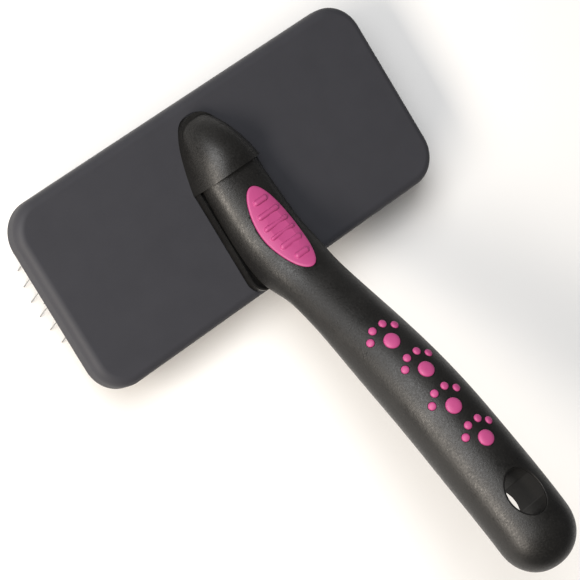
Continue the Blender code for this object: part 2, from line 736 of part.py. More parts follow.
def build_pin_bed(bed, looks):
    inset = 2 * (WALL + BED_CLEARANCE)
    size = (HEAD_LENGTH - inset, HEAD_WIDTH - inset, HEAD_CORNER - inset / 2)
    rings = [rounded_rectangle(*size, CUSHION_TOP - CUSHION)]
    rings.append(rounded_rectangle(*size, CUSHION_TOP))
    cushion = add("bed_cushion", loft("bed_cushion", rings), bed, looks["foam"])
    wide = SCREW_HEAD_RADIUS + 2 * GAP
    relief = turned("screw_relief", [(wide, -2 * SKIRT_DEPTH), (wide, 0)], 14)
    for i, (x, y) in enumerate(screw_places()):
        spot = Matrix.Translation((x, y, 0))
        combine(cushion, add_helper(f"screw_relief_{i}", relief, bed, spot))

    rings = [rounded_rectangle(*size, BED_FACE), rounded_rectangle(*size, FOUNDATION_TOP)]
    cloth = add("bed_foundation", loft("bed_foundation", rings), bed, looks["rubber"])
    bm = bmesh.new()
    for row in range(ROWS):
        y = (row - (ROWS - 1) / 2) * ROW_PITCH
        count = int(2 * row_half_length(y) / PIN_PITCH) + 1
        half = (count - 1) / 2 * PIN_PITCH + PIN_WIRE / 2 + GAP
        deep = CROWN_HEIGHT + GAP
        scale = Matrix.Diagonal((2 * half, PIN_WIRE + 2 * GAP, 2 * deep, 1))
        bmesh.ops.create_cube(bm, matrix=Matrix.Translation((0, y, BED_FACE)) @ scale)
        name = f"pin_row_{row + 1:02d}"
        spot = Matrix.Translation((0, y, BED_FACE))
        add(name, pin_row_mesh(name, count), bed, looks["steel"], spot)
    combine(cloth, add_helper("crown_grooves", finish_mesh("crown_grooves", bm), bed))


# ---------------------------------------------------------------- the whole brush


def empty(name, parent, place):
    item = bpy.data.objects.new(name, None)
    bpy.context.scene.collection.objects.link(item)
    item.parent = parent
    item.location = place
    return item


def main():
    for item in list(bpy.data.objects):
        bpy.data.objects.remove(item)
    looks = {
        "shell": material("shell_charcoal", (0.06, 0.06, 0.063), 0.5),
        "soft": material("soft_black", (0.022, 0.022, 0.021), 0.45),
        "core": material("core_black", (0.03, 0.03, 0.03), 0.5),
        "pink": material("pink_rubber", (0.42, 0.07, 0.21), 0.5),
        "steel": material("pin_steel", (0.6, 0.6, 0.6), 0.3, 1.0),
        "rubber": material("foundation_rubber", (0.08, 0.08, 0.08), 0.7),
        "foam": material("cushion_foam", (0.25, 0.25, 0.25), 0.9),
    }
    end_rings = [Section(reach).ring() for reach in handle_reaches(NECK, HANDLE_REACH, 20)]
    handle_end = min(point.y for ring in end_rings for point in ring)
    datum = empty("brush_datum", None, (0, -(EDGE + handle_end) / 2, PIN_DEPTH))
    bed = empty("pin_bed_slide", datum, (0, 0, 0))

    shell, saddle = build_head(datum, looks)
    grip, core = build_handle(datum, looks)
    build_thumb_rest(datum, looks, grip)
    build_paws(datum, looks, grip)
    build_screws(datum, looks, (shell, saddle, core))
    build_pin_bed(bed, looks)
    bpy.context.view_layer.update()


main()
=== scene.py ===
"""Slicker brush for pets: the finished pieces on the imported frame, laid out as an add-on."""

import math

import bmesh
import bpy
import numpy as np
from bpy.props import FloatProperty, FloatVectorProperty, IntProperty, PointerProperty
from mathutils import Matrix, Vector


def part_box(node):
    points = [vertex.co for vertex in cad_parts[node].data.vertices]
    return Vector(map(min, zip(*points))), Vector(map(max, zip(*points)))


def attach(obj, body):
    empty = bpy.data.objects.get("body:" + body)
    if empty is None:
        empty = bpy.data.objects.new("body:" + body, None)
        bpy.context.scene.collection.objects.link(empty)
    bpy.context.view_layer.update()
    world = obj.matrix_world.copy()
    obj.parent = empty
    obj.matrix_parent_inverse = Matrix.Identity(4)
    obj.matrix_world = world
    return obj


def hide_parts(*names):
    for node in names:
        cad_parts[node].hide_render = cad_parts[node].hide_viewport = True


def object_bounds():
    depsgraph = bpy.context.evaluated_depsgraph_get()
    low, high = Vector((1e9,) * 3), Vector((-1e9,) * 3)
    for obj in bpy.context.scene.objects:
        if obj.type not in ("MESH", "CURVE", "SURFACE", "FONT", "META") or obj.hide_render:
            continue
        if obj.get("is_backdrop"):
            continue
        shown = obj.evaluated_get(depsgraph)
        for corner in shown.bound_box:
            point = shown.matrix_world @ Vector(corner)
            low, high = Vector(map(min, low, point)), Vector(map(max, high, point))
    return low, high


bl_info = {
    "name": "Slicker Brush",
    "version": (1, 0, 0),
    "blender": (4, 5, 0),
    "location": "View3D > Sidebar > Brush",
    "description": "Builds the pieces and the stage of a pet slicker brush",
    "category": "Object",
}

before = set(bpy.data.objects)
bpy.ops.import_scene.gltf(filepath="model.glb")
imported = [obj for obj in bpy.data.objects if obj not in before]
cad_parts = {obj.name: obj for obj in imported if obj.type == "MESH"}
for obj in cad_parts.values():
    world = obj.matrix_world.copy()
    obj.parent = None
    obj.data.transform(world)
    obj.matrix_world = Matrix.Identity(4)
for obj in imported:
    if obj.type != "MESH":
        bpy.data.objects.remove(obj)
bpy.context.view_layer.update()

MM = 0.001

# The datum is the centre of the flat back of the head
HEAD_LOW, HEAD_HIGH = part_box("head_shell")
DATUM = Vector(((HEAD_LOW.x + HEAD_HIGH.x) / 2, (HEAD_LOW.y + HEAD_HIGH.y) / 2, HEAD_HIGH.z))
HEAD_LENGTH = HEAD_HIGH.x - HEAD_LOW.x
HEAD_WIDTH = HEAD_HIGH.y - HEAD_LOW.y
SKIRT_DEPTH = HEAD_HIGH.z - HEAD_LOW.z
EDGE = HEAD_WIDTH / 2
ROOF = 1.8 * MM
WALL = 1.9 * MM
RIM_ROUNDING = 0.35 * MM

CLOTH_LOW, CLOTH_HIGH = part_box("bed_foundation")
CUSHION_LOW, CUSHION_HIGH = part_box("bed_cushion")
TIPS_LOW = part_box("pin_row_06")[0].z

# Saddle
SADDLE_HALF_WIDTH = 9.8 * MM
SADDLE_FOOT = -0.2 * MM
SADDLE_FLOOR = 1.0 * MM
RAIL_TOP = 2.0 * MM
RAIL_WIDTH = 0.45 * MM
RAIL_TAPER = 0.05 * MM  # narrower at the mouth than at the rear
NOSE_INSET = 0.2 * MM  # of the plate under the hood's edge
NOSE_BLUNT = 0.04  # share of the half width left at the tip of the plate
SADDLE_CORNER = 4.0 * MM
SADDLE_REAR = EDGE - 0.5 * MM
HOOD_TIP = 4.1 * MM - EDGE
HOOD_LENGTH = 17.5 * MM
HOOD_HALF_WIDTH = 10.2 * MM
HOOD_HEIGHT = 10.2 * MM
HOOD_WALL = 1.0 * MM
HOOD_LEAN = 0.9 * MM
HOLLOW_SETBACK = 3.4 * MM  # of the hood's hollow from its tip
HOOD_NOSE = 0.37  # power that rounds the hood's plan outline
HOOD_SHOULDER = 0.9  # power that squares the hood's arch, below 1
HOOD_CROWN = 2.3  # power that drops the hood's crown towards its nose
MOUTH = HOOD_TIP + HOOD_LENGTH

# Handle
HANDLE_REACH = 113.45 * MM
HANDLE_RISE = 42.05 * MM
END_ROUNDING = 10.5 * MM
END_FULLNESS = 2.15  # power that squares the handle's end
GRIP_START = MOUTH - 1.8 * MM
HOLE_SETBACK = 18.25 * MM
HOLE_HALF_LENGTH = 6.3 * MM
HOLE_HALF_WIDTH = 4.9 * MM
HOLE_ROUNDING = 0.25 * MM
LINING_WALL = 0.3 * MM
LINING_GAP = 0.05 * MM
LINING_LIP = 0.2 * MM  # below the grip's surface

# Reach, height of the widest line, half width, thickness above it and below it
NECK = EDGE + 0.5 * MM
NECK_HEIGHT = 10.1 * MM
SEAT_SECTIONS = (
    (GRIP_START - 1 * MM, 2.6 * MM, 8.3 * MM, 5.3 * MM, 1.3 * MM),
    ((MOUTH + EDGE - 13.5 * MM) / 2, 2.7 * MM, 8.9 * MM, 6.2 * MM, 1.45 * MM),
    (EDGE - 13.5 * MM, 3.5 * MM, 9.05 * MM, 6.5 * MM, 2.25 * MM),
    (EDGE - 8.5 * MM, 5.0 * MM, 9.05 * MM, 6.35 * MM, 3.7 * MM),
    (EDGE - 4.5 * MM, 7.2 * MM, 9.0 * MM, 5.8 * MM, 5.1 * MM),
    (NECK, NECK_HEIGHT, 8.6 * MM, 5.35 * MM, 5.2 * MM),
)
# Share of the arm's run, share of its rise, half width, half thickness
ARM_SECTIONS = (
    (0.114, 0.181, 8.65 * MM, 5.45 * MM),
    (0.275, 0.400, 9.5 * MM, 7.15 * MM),
    (0.457, 0.615, 10.1 * MM, 8.2 * MM),
    (0.640, 0.777, 10.35 * MM, 8.4 * MM),
    (0.823, 0.921, 10.45 * MM, 8.2 * MM),
    (0.937, 0.983, 10.45 * MM, 7.9 * MM),
    (1.0, 1.0, 10.4 * MM, 7.5 * MM),
)


def arm_section(run, rise, half_width, half_thickness):
    """A row of SECTIONS for the arm, beyond the head's edge."""
    reach = NECK + run * (HANDLE_REACH - NECK)
    height = NECK_HEIGHT + rise * (HANDLE_RISE - NECK_HEIGHT)
    return reach, height, half_width, half_thickness, half_thickness


SECTIONS = np.array(SEAT_SECTIONS + tuple(arm_section(*row) for row in ARM_SECTIONS))

# Inlays
THUMB_SETBACK = 4.7 * MM
THUMB_HALF_LENGTH = 14.0 * MM
THUMB_HALF_WIDTH = 5.0 * MM
THUMB_DEPTH = 1.2 * MM
THUMB_PROUD = 0.25 * MM
THUMB_ROUNDING = 0.35 * MM
THUMB_THICKNESS = 0.8 * MM
RIBS = 6
RIB_PITCH = 3.9 * MM
RIB_HALF_LENGTHS = (1.35 * MM, 2.55 * MM, 2.95 * MM)  # from the ends to the middle of the leaf
INLAY_GAP = 0.12 * MM
INLAY_DEPTH = 0.9 * MM
PAD_RADIUS = 2.07 * MM
PAD_DOME = 0.62 * MM
TOE_RADIUS = 1.03 * MM
TOE_DOME = 0.5 * MM
BUTTON_STEM = 0.75 * MM  # of a pad or toe, below the grip's surface
PAW_PITCH = 10.45 * MM
PAW_HOLE_GAP = 9.2 * MM
PAW_SIDESTEP = 0.6 * MM
TOES = (  # ahead of the pad, to the side of it
    (2.95 * MM, -4.1 * MM),
    (4.85 * MM, -1.7 * MM),
    (4.85 * MM, 1.7 * MM),
    (2.95 * MM, 4.1 * MM),
)
PAWS = 4

# Pin bed
BED_CORNER = 6.5 * MM
PIN_ROOT = 0.5 * MM  # of each pin, sunk in the foundation
PIN_BEND = 0.45 * MM  # from a pin's knee to where its bend starts and ends
TIP_CLEARANCE = 0.05 * MM  # above the surface that the brush stands on
WIRE_SIDES = 8

# Screws, hidden in the pan
SCREW_SIDE = 3.8 * MM
SCREW_REACH = MOUTH - 6.0 * MM
SCREW_RELIEF = 3.3 * MM  # radius of the holes in the cushion over the screw heads

# Stage, in metres from the datum
CAMERA_PLACE = Vector((-0.3812, 0.0793, 0.6796))
CAMERA_RIGHT = Vector((0.71222, -0.51218, 0.48001))
CAMERA_UP = Vector((0.50840, 0.84789, 0.15037))
STAGE_MIDDLE = Vector((0, -0.03, 0.01))
KEY_PLACE = Vector((-0.36, 0.42, 0.78))  # from the stage's middle
SIDE_PLACE = Vector((-0.56, 0.02, 0.38))


# ---------------------------------------------------------------- settings


class BrushHeadSettings(bpy.types.PropertyGroup):
    """Sizes of the pan and its saddle."""

    corner: FloatProperty(
        name="Corner Radius",
        description="Radius of the pan's corners in plan",
        default=8.8 * MM,
        min=3 * MM,
        max=20 * MM,
        unit="LENGTH",
    )
    back_edge: FloatProperty(
        name="Back Edge",
        description="Radius of the edge round the back of the pan",
        default=2.4 * MM,
        min=0.5 * MM,
        max=4 * MM,
        unit="LENGTH",
    )
    seat_gap: FloatProperty(
        name="Seat Gap",
        description="Open line between the saddle and the pan",
        default=0.3 * MM,
        min=0.05 * MM,
        max=0.6 * MM,
        unit="LENGTH",
    )


class BrushPinSettings(bpy.types.PropertyGroup):
    """Sizes of the wire pins and of the field that they fill."""

    wire: FloatProperty(
        name="Wire",
        description="Diameter of one pin",
        default=0.26 * MM,
        min=0.15 * MM,
        max=0.6 * MM,
        unit="LENGTH",
    )
    rows: IntProperty(
        name="Rows",
        description="Number of staggered rows of pins",
        default=21,
        min=3,
        max=40,
    )
    row_pitch: FloatProperty(
        name="Row Pitch",
        description="Distance between rows",
        default=2.05 * MM,
        min=1 * MM,
        max=6 * MM,
        unit="LENGTH",
    )
    pin_pitch: FloatProperty(
        name="Pin Pitch",
        description="Distance between pins in a row",
        default=5.56 * MM,
        min=1 * MM,
        max=10 * MM,
        unit="LENGTH",
    )
    field_half: FloatProperty(
        name="Field Half Length",
        description="From the middle of the pan to the last pin",
        default=53.3 * MM,
        min=20 * MM,
        max=54 * MM,
        unit="LENGTH",
    )
    field_end: FloatProperty(
        name="Field End Radius",
        description="Radius of the arc at each end of the field",
        default=37 * MM,
        min=25 * MM,
        max=200 * MM,
        unit="LENGTH",
    )
    knee: FloatProperty(
        name="Knee Depth",
        description="Depth of a pin's bend below the bed",
        default=5.6 * MM,
        min=1 * MM,
        max=9 * MM,
        unit="LENGTH",
    )
    root_lean: FloatProperty(
        name="Root Lean",
        description="Lean of a pin above its bend",
        default=math.radians(25),
        min=0,
        max=math.radians(40),
        subtype="ANGLE",
    )
    tip_lean: FloatProperty(
        name="Tip Lean",
        description="Lean of a pin below its bend, the other way",
        default=math.radians(14.5),
        min=0,
        max=math.radians(40),
        subtype="ANGLE",
    )


class BrushInlaySettings(bpy.types.PropertyGroup):
    """Sizes of the coloured inlays."""

    rib_height: FloatProperty(
        name="Rib Height",
        description="Height of a rib above the thumb rest",
        default=0.7 * MM,
        min=0.1 * MM,
        max=1 * MM,
        unit="LENGTH",
    )
    rib_radius: FloatProperty(
        name="Rib Radius",
        description="Half the width of a rib",
        default=0.8 * MM,
        min=0.4 * MM,
        max=1.6 * MM,
        unit="LENGTH",
    )


def colour(name, description, default):
    """A colour setting."""
    return FloatVectorProperty(
        name=name,
        description=description,
        default=default,
        size=3,
        min=0,
        max=1,
        subtype="COLOR",
    )


class BrushColourSettings(bpy.types.PropertyGroup):
    """Colours of the materials."""

    shell: colour("Shell", "Charcoal plastic of the pan", (0.034, 0.0345, 0.041))
    soft: colour("Soft Grip", "Soft-touch black of the grip and saddle", (0.007, 0.0068, 0.0065))
    core: colour("Core", "Black plastic of the core and hole lining", (0.01, 0.01, 0.01))
    pink: colour("Inlay", "Rubber of the thumb rest and paw prints", (0.37, 0.052, 0.175))
    steel: colour("Pins", "Steel of the pins and screws", (0.3, 0.3, 0.3))
    cloth: colour("Foundation", "Rubber-faced cloth that holds the pins", (0.07, 0.07, 0.072))
    foam: colour("Cushion", "Foam behind the foundation", (0.16, 0.16, 0.165))


class BrushStageSettings(bpy.types.PropertyGroup):
    """Floor, lights and camera."""

    floor: colour("Floor", "Colour of the floor", (0.95, 0.95, 0.95))
    surround: FloatProperty(
        name="Surround",
        description="Strength of the even light all round",
        default=0.12,
        min=0,
        max=3,
    )
    key: FloatProperty(
        name="Key",
        description="Power of the large light over the brush, in watts",
        default=8.5,
        min=0,
        max=100,
    )
    side: FloatProperty(
        name="Side",
        description="Power of the light along the handle's left flank, in watts",
        default=5.5,
        min=0,
        max=100,
    )
    lens: FloatProperty(
        name="Lens",
        description="Focal length of the camera in millimetres",
        default=197.9,
        min=20,
        max=400,
    )


# ---------------------------------------------------------------- curves and meshes


def spline_slopes(knots, values):
    """Slopes of the natural cubic spline through the values."""
    count = len(knots)
    step = np.diff(knots)
    matrix = np.zeros((count, count))
    right = np.zeros(count)
    matrix[0, :2] = 2, 1
    matrix[-1, -2:] = 1, 2
    right[0] = 3 * (values[1] - values[0]) / step[0]
    right[-1] = 3 * (values[-1] - values[-2]) / step[-1]
    for i in range(1, count - 1):
        before, after = 1 / step[i - 1], 1 / step[i]
        matrix[i, i - 1 : i + 2] = before, 2 * (before + after), after
        rise_before = (values[i] - values[i - 1]) * before**2
        rise_after = (values[i + 1] - values[i]) * after**2
        right[i] = 3 * (rise_before + rise_after)
    return np.linalg.solve(matrix, right)


SLOPES = [spline_slopes(SECTIONS[:, 0], SECTIONS[:, column]) for column in range(1, 5)]


def spline(reach, column):
    """The value and slope of one column of SECTIONS at this reach."""
    knots, values, slopes = SECTIONS[:, 0], SECTIONS[:, column], SLOPES[column - 1]
    i = int(np.clip(np.searchsorted(knots, reach) - 1, 0, len(knots) - 2))
    step = knots[i + 1] - knots[i]
    t = (reach - knots[i]) / step
    a = values[i + 1] - values[i] - slopes[i] * step
    b = slopes[i + 1] * step - (values[i + 1] - values[i])
    value = values[i] + t * (slopes[i] * step + t * ((2 * a - b) + t * (b - a)))
    slope = slopes[i] + (t * 2 * (2 * a - b) + 3 * t * t * (b - a)) / step
    return float(value), float(slope)


def blend(value, start, end):
    """0 before start, 1 after end, smooth between."""
    t = min(max((value - start) / (end - start), 0.0), 1.0)
    return t * t * (3 - 2 * t)


class Section:
    """The handle's outer cross-section at one reach: flat-footed over the head, oval beyond."""

    def __init__(self, reach):
        height, slope = spline(reach, 1)
        past = (reach - (HANDLE_REACH - END_ROUNDING)) / END_ROUNDING
        round_off = (1 - min(max(past, 0.0), 1.0) ** END_FULLNESS) ** (1 / END_FULLNESS)
        self.centre = DATUM + Vector((0, -reach, height))
        self.along = Vector((0, -1, slope)).normalized()
        self.up = Vector((0, slope, 1)).normalized()
        self.half_width = spline(reach, 2)[0] * round_off
        self.crown = spline(reach, 3)[0] * round_off
        self.keel = spline(reach, 4)[0] * round_off
        lifted = blend(reach, EDGE - 9 * MM, EDGE + 4 * MM)
        self.top_power = 2.15 - 0.15 * lifted
        self.foot_power = 5 - 3 * lifted

    def ring(self, points=96):
        """Points round the section."""
        found = []
        for i in range(points):
            angle = 2 * math.pi * (i + 0.5) / points
            across, rise = math.cos(angle), math.sin(angle)
            power = 2 / (self.top_power if rise > 0 else self.foot_power)
            reach_up = self.crown if rise > 0 else self.keel
            x = math.copysign(abs(across) ** power, across) * self.half_width
            v = math.copysign(abs(rise) ** power, rise) * reach_up
            found.append(self.centre + Vector((x, 0, 0)) + self.up * v)
        return found

    def surface(self, across, lift=0.0, below=False):
        """The point of the upper or lower surface at this X, lifted along its normal."""
        power = self.foot_power if below else self.top_power
        deep = self.keel if below else self.crown
        turn = -1 if below else 1
        share = min(abs(across) / self.half_width, 0.999)
        height = (1 - share**power) ** (1 / power)
        normal = Vector((math.copysign(share ** (power - 1) / self.half_width, across), 0, 0))
        normal += self.up * (turn * height ** (power - 1) / deep)
        normal.normalize()
        point = self.centre + Vector((across, 0, 0)) + self.up * (turn * height * deep)
        return point + normal * lift, normal


REACHES = np.linspace(GRIP_START, HANDLE_REACH, 500)
HEIGHTS = np.array([spline(reach, 1)[0] for reach in REACHES])
DISTANCES = np.concatenate([[0], np.cumsum(np.hypot(np.diff(REACHES), np.diff(HEIGHTS)))])


def reach_at(distance):
    """The reach of the point this far along the handle's centre line."""
    return float(np.interp(distance, DISTANCES, REACHES))


def distance_at(reach):
    """How far along the handle's centre line this reach lies."""
    return float(np.interp(reach, REACHES, DISTANCES))


def loft(name, rings):
    """A closed mesh through rings of points, with a flat cap on its first and last ring."""
    bm = bmesh.new()
    loops = [[bm.verts.new(point) for point in ring] for ring in rings]
    count = len(loops[0])
    for low, high in zip(loops, loops[1:]):
        for i in range(count):
            j = (i + 1) % count
            bm.faces.new((low[i], low[j], high[j], high[i]))
    bm.faces.new(loops[0][::-1])
    bm.faces.new(loops[-1])
    return finish_mesh(name, bm)


def finish_mesh(name, bm, crease=38):
    """The finished mesh, with its faces pointing out and shaded smooth between creases."""
    bmesh.ops.recalc_face_normals(bm, faces=bm.faces)
    mesh = bpy.data.meshes.new(name)
    bm.to_mesh(mesh)
    bm.free()
    mesh.shade_smooth()
    mesh.set_sharp_from_angle(angle=math.radians(crease))
    return mesh


def rounded_rectangle(length, width, radius, z, per_corner=18):
    """Points round a rectangle with round corners, at this height over the datum."""
    ring = []
    for corner in range(4):
        sx = 1 if corner in (0, 3) else -1
        sy = 1 if corner in (0, 1) else -1
        centre = (sx * (length / 2 - radius), sy * (width / 2 - radius))
        for i in range(per_corner):
            angle = math.pi / 2 * (corner + i / (per_corner - 1))
            x = centre[0] + radius * math.cos(angle)
            y = centre[1] + radius * math.sin(angle)
            ring.append(DATUM + Vector((x, y, z)))
    return ring


def prism(name, outline, low, high):
    """A plain slab between two heights over the datum."""
    rings = [[DATUM + Vector((x, y, z)) for x, y in outline] for z in (low, high)]
    return loft(name, rings)


def place(name, mesh):
    """A new object in the scene."""
    item = bpy.data.objects.new(name, mesh)
    bpy.context.scene.collection.objects.link(item)
    return item


def combine(item, mesh, operation="DIFFERENCE"):
    """Cuts a shape from the piece, or joins one to it, for good."""
    helper = place("helper", mesh)
    modifier = item.modifiers.new("combine", "BOOLEAN")
    modifier.operation = operation
    modifier.solver = "EXACT"
    modifier.object = helper
    apply_modifiers(item)
    bpy.data.objects.remove(helper)
    bpy.data.meshes.remove(mesh)


def apply_modifiers(item):
    """Turns the piece's modifiers into its mesh."""
    graph = bpy.context.evaluated_depsgraph_get()
    made = bpy.data.meshes.new_from_object(item.evaluated_get(graph), depsgraph=graph)
    old = item.data
    item.modifiers.clear()
    item.data = made
    bpy.data.meshes.remove(old)


def smooth(item, crease=38):
    """Shades smooth between creases, with the large faces keeping their own direction."""
    item.data.shade_smooth()
    item.data.set_sharp_from_angle(angle=math.radians(crease))
    modifier = item.modifiers.new("weighted_normal", "WEIGHTED_NORMAL")
    modifier.keep_sharp = True
    modifier.weight = 80


def settle(item, body, nodes, look):
    """The piece takes its material, rides on its body and stands for its CAD nodes."""
    item.data.materials.clear()
    item.data.materials.append(look)
    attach(item, body)
    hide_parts(*nodes)
    return item


# ---------------------------------------------------------------- materials


class Nodes:
    """Short calls for building a node tree."""

    def __init__(self, tree):
        self.tree = tree

    def add(self, kind, values=None, **settings):
        node = self.tree.nodes.new(kind)
        for key, value in settings.items():
            setattr(node, key, value)
        for key, value in (values or {}).items():
            if hasattr(value, "is_output"):
                self.tree.links.new(value, node.inputs[key])
            else:
                node.inputs[key].default_value = value
        return node

    def math(self, operation, first, second=0.0):
        return self.add("ShaderNodeMath", {0: first, 1: second}, operation=operation).outputs[0]

    def noise(self, where, scale, detail=2.0, roughness=0.5):
        values = {"Vector": where, "Scale": scale, "Detail": detail, "Roughness": roughness}
        return self.add("ShaderNodeTexNoise", values).outputs["Fac"]

    def spread(self, value, low, high, to_low, to_high):
        values = {0: value, 1: low, 2: high, 3: to_low, 4: to_high}
        return self.add("ShaderNodeMapRange", values).outputs[0]

    def mix(self, factor, first, second):
        """Blends two colours, whose sockets are the seventh and eighth of the Mix node."""
        values = {0: factor, 6: first, 7: second}
        return self.add("ShaderNodeMix", values, data_type="RGBA").outputs[2]


def new_group(name, inputs, outputs):
    """An empty shader node group with these sockets, and its helper."""
    group = bpy.data.node_groups.new(name, "ShaderNodeTree")
    kinds = {"value": "NodeSocketFloat", "colour": "NodeSocketColor", "vector": "NodeSocketVector"}
    for label, kind, default in inputs:
        socket = group.interface.new_socket(label, in_out="INPUT", socket_type=kinds[kind])
        socket.default_value = default
    for label, kind in outputs:
        group.interface.new_socket(label, in_out="OUTPUT", socket_type=kinds[kind])
    nodes = Nodes(group)
    return group, nodes, nodes.add("NodeGroupInput"), nodes.add("NodeGroupOutput")


def moulded_grain():
    """Eroded-mould grain: a finely pitted relief whose colour darkens in its hollows and lightens
    on its bumps as painted shade and painted light, soft broad blotches and a few pale flecks
    painted as glints of the highlight.
    """
    if "moulded_grain" in bpy.data.node_groups:
        return bpy.data.node_groups["moulded_grain"]
    group, n, into, out = new_group(
        "moulded_grain",
        [
            ("Base", "colour", (0.02, 0.02, 0.02, 1)),
            ("Grain Scale", "value", 2600.0),
            ("Grain Depth", "value", 0.00002),
            ("Roughness", "value", 0.45),
            ("Roughness Spread", "value", 0.1),
            # strength of the broad random blotching and of the painted shade and light that follow
            # the grain's relief
            ("Mottle And Grain Shading", "value", 0.15),
            # share of pale beige flecks painted into the colour as glints of the highlight
            ("Painted Glints", "value", 0.02),
        ],
        [("Colour", "colour"), ("Roughness", "value"), ("Normal", "vector")],
    )
    where = n.add("ShaderNodeTexCoord").outputs["Object"]
    fine = n.noise(where, into.outputs["Grain Scale"], 2.0, 0.6)
    finer = n.noise(where, n.math("MULTIPLY", into.outputs["Grain Scale"], 2.6), 1.0, 0.5)
    broad = n.noise(where, 110.0, 3.0, 0.55)
    grain = n.math("ADD", n.math("MULTIPLY", fine, 0.65), n.math("MULTIPLY", finer, 0.35))

    bump = n.add(
        "ShaderNodeBump",
        {"Height": grain, "Distance": into.outputs["Grain Depth"], "Strength": 1.0},
    )
    n.tree.links.new(bump.outputs["Normal"], out.inputs["Normal"])

    swing = n.math("SUBTRACT", n.math("ADD", fine, n.math("MULTIPLY", broad, 0.5)), 0.75)
    rough = n.math("MULTIPLY", swing, into.outputs["Roughness Spread"])
    rough = n.math("ADD", n.math("MULTIPLY", rough, 2.0), into.outputs["Roughness"])
    n.tree.links.new(rough, out.inputs["Roughness"])

    # broad random blotching of the tone, not tied to the relief
    shade = n.math("MULTIPLY", n.math("SUBTRACT", broad, 0.5), into.outputs["Mottle And Grain Shading"])
    # colour darker in the grain's hollows and lighter on its bumps, following the bump's height:
    # painted shade and painted light
    painted_grain_shading = n.math("MULTIPLY", n.math("SUBTRACT", grain, 0.5), into.outputs["Mottle And Grain Shading"])
    level = n.math("ADD", n.math("ADD", n.math("MULTIPLY", shade, 2.0), painted_grain_shading), 1.0)
    toned = n.add("ShaderNodeVectorMath", {0: into.outputs["Base"]}, operation="SCALE")
    n.tree.links.new(level, toned.inputs["Scale"])
    # pale beige flecks painted into the colour: painted glints of the warm highlight on the grain
    painted_glint = n.spread(finer, 0.66, 0.8, 0.0, into.outputs["Painted Glints"])
    coloured = n.mix(painted_glint, toned.outputs[0], (0.75, 0.68, 0.58, 1))
    n.tree.links.new(coloured, out.inputs["Colour"])
    return group


def new_material(name):
    """An empty material, the helper for its nodes and its shader."""
    made = bpy.data.materials.new(name)
    made.use_nodes = True
    nodes = Nodes(made.node_tree)
    return made, nodes, made.node_tree.nodes["Principled BSDF"]


def grained(name, base, scale, depth, roughness, spread, mottle_and_grain_shading, painted_glints, specular):
    """A moulded plastic or rubber with the shared grain."""
    if name in bpy.data.materials:
        return bpy.data.materials[name]
    made, n, shader = new_material(name)
    values = {
        "Base": (*base, 1),
        "Grain Scale": scale,
        "Grain Depth": depth,
        "Roughness": roughness,
        "Roughness Spread": spread,
        "Mottle And Grain Shading": mottle_and_grain_shading,
        "Painted Glints": painted_glints,
    }
    grain = n.tree.nodes.new("ShaderNodeGroup")
    grain.node_tree = moulded_grain()
    for key, value in values.items():
        grain.inputs[key].default_value = value
    n.tree.links.new(grain.outputs["Colour"], shader.inputs["Base Color"])
    n.tree.links.new(grain.outputs["Roughness"], shader.inputs["Roughness"])
    n.tree.links.new(grain.outputs["Normal"], shader.inputs["Normal"])
    shader.inputs["Specular IOR Level"].default_value = specular
    made.diffuse_color = (*base, 1)
    return made


def shell_plastic():
    """Satin charcoal plastic with a very fine grain."""
    base = bpy.context.scene.brush_colours.shell
    return grained(
        "shell_charcoal",
        base,
        scale=1500.0,
        depth=0.000006,
        roughness=0.6,
        spread=0.06,
        mottle_and_grain_shading=0.1,
        painted_glints=0.0,
        specular=0.3,
    )


def soft_black():
    """Soft-touch rubber: coarse grain, uneven gloss and a few pale flecks painted as glints of the
    highlight.
    """
    base = bpy.context.scene.brush_colours.soft
    return grained(
        "soft_black",
        base,
        scale=2100.0,
        depth=0.00006,
        roughness=0.42,
        spread=0.25,
        mottle_and_grain_shading=0.5,
        # pale flecks painted in as glints of the highlight
        painted_glints=0.04,
        specular=0.42,
    )


def core_black():
    """Plain dull black plastic."""
    base = bpy.context.scene.brush_colours.core
    return grained(
        "core_black",
        base,
        scale=1800.0,
        depth=0.00001,
        roughness=0.6,
        spread=0.08,
        mottle_and_grain_shading=0.12,
        painted_glints=0.0,
        specular=0.1,
    )


def inlay_rubber():
    """Smooth coloured rubber."""
    base = bpy.context.scene.brush_colours.pink
    return grained(
        "inlay_rubber",
        base,
        scale=2200.0,
        depth=0.00001,
        roughness=0.5,
        spread=0.08,
        mottle_and_grain_shading=0.06,
        painted_glints=0.0,
        specular=0.4,
    )


def drawn_steel():
    """Wire steel: fine lengthwise draw marks and a light oil film."""
    if "drawn_steel" in bpy.data.materials:
        return bpy.data.materials["drawn_steel"]
    base = bpy.context.scene.brush_colours.steel
    made, n, shader = new_material("drawn_steel")
    where = n.add("ShaderNodeTexCoord").outputs["Object"]
    stretch = n.add("ShaderNodeMapping", {"Vector": where, "Scale": (9000.0, 9000.0, 500.0)})
    lines = n.noise(stretch.outputs[0], 1.0, 3.0, 0.6)
    film = n.noise(where, 300.0, 2.0, 0.5)
    tone = n.mix(lines, (*(0.8 * c for c in base), 1), (*base, 1))
    tone = n.mix(n.spread(film, 0.5, 0.75, 0.0, 0.3), tone, (0.45, 0.42, 0.38, 1))
    n.tree.links.new(tone, shader.inputs["Base Color"])
    n.tree.links.new(n.spread(lines, 0.3, 0.7, 0.2, 0.4), shader.inputs["Roughness"])
    bump = n.add("ShaderNodeBump", {"Height": lines, "Distance": 0.000004, "Strength": 0.6})
    n.tree.links.new(bump.outputs["Normal"], shader.inputs["Normal"])
    shader.inputs["Metallic"].default_value = 1.0
    return made


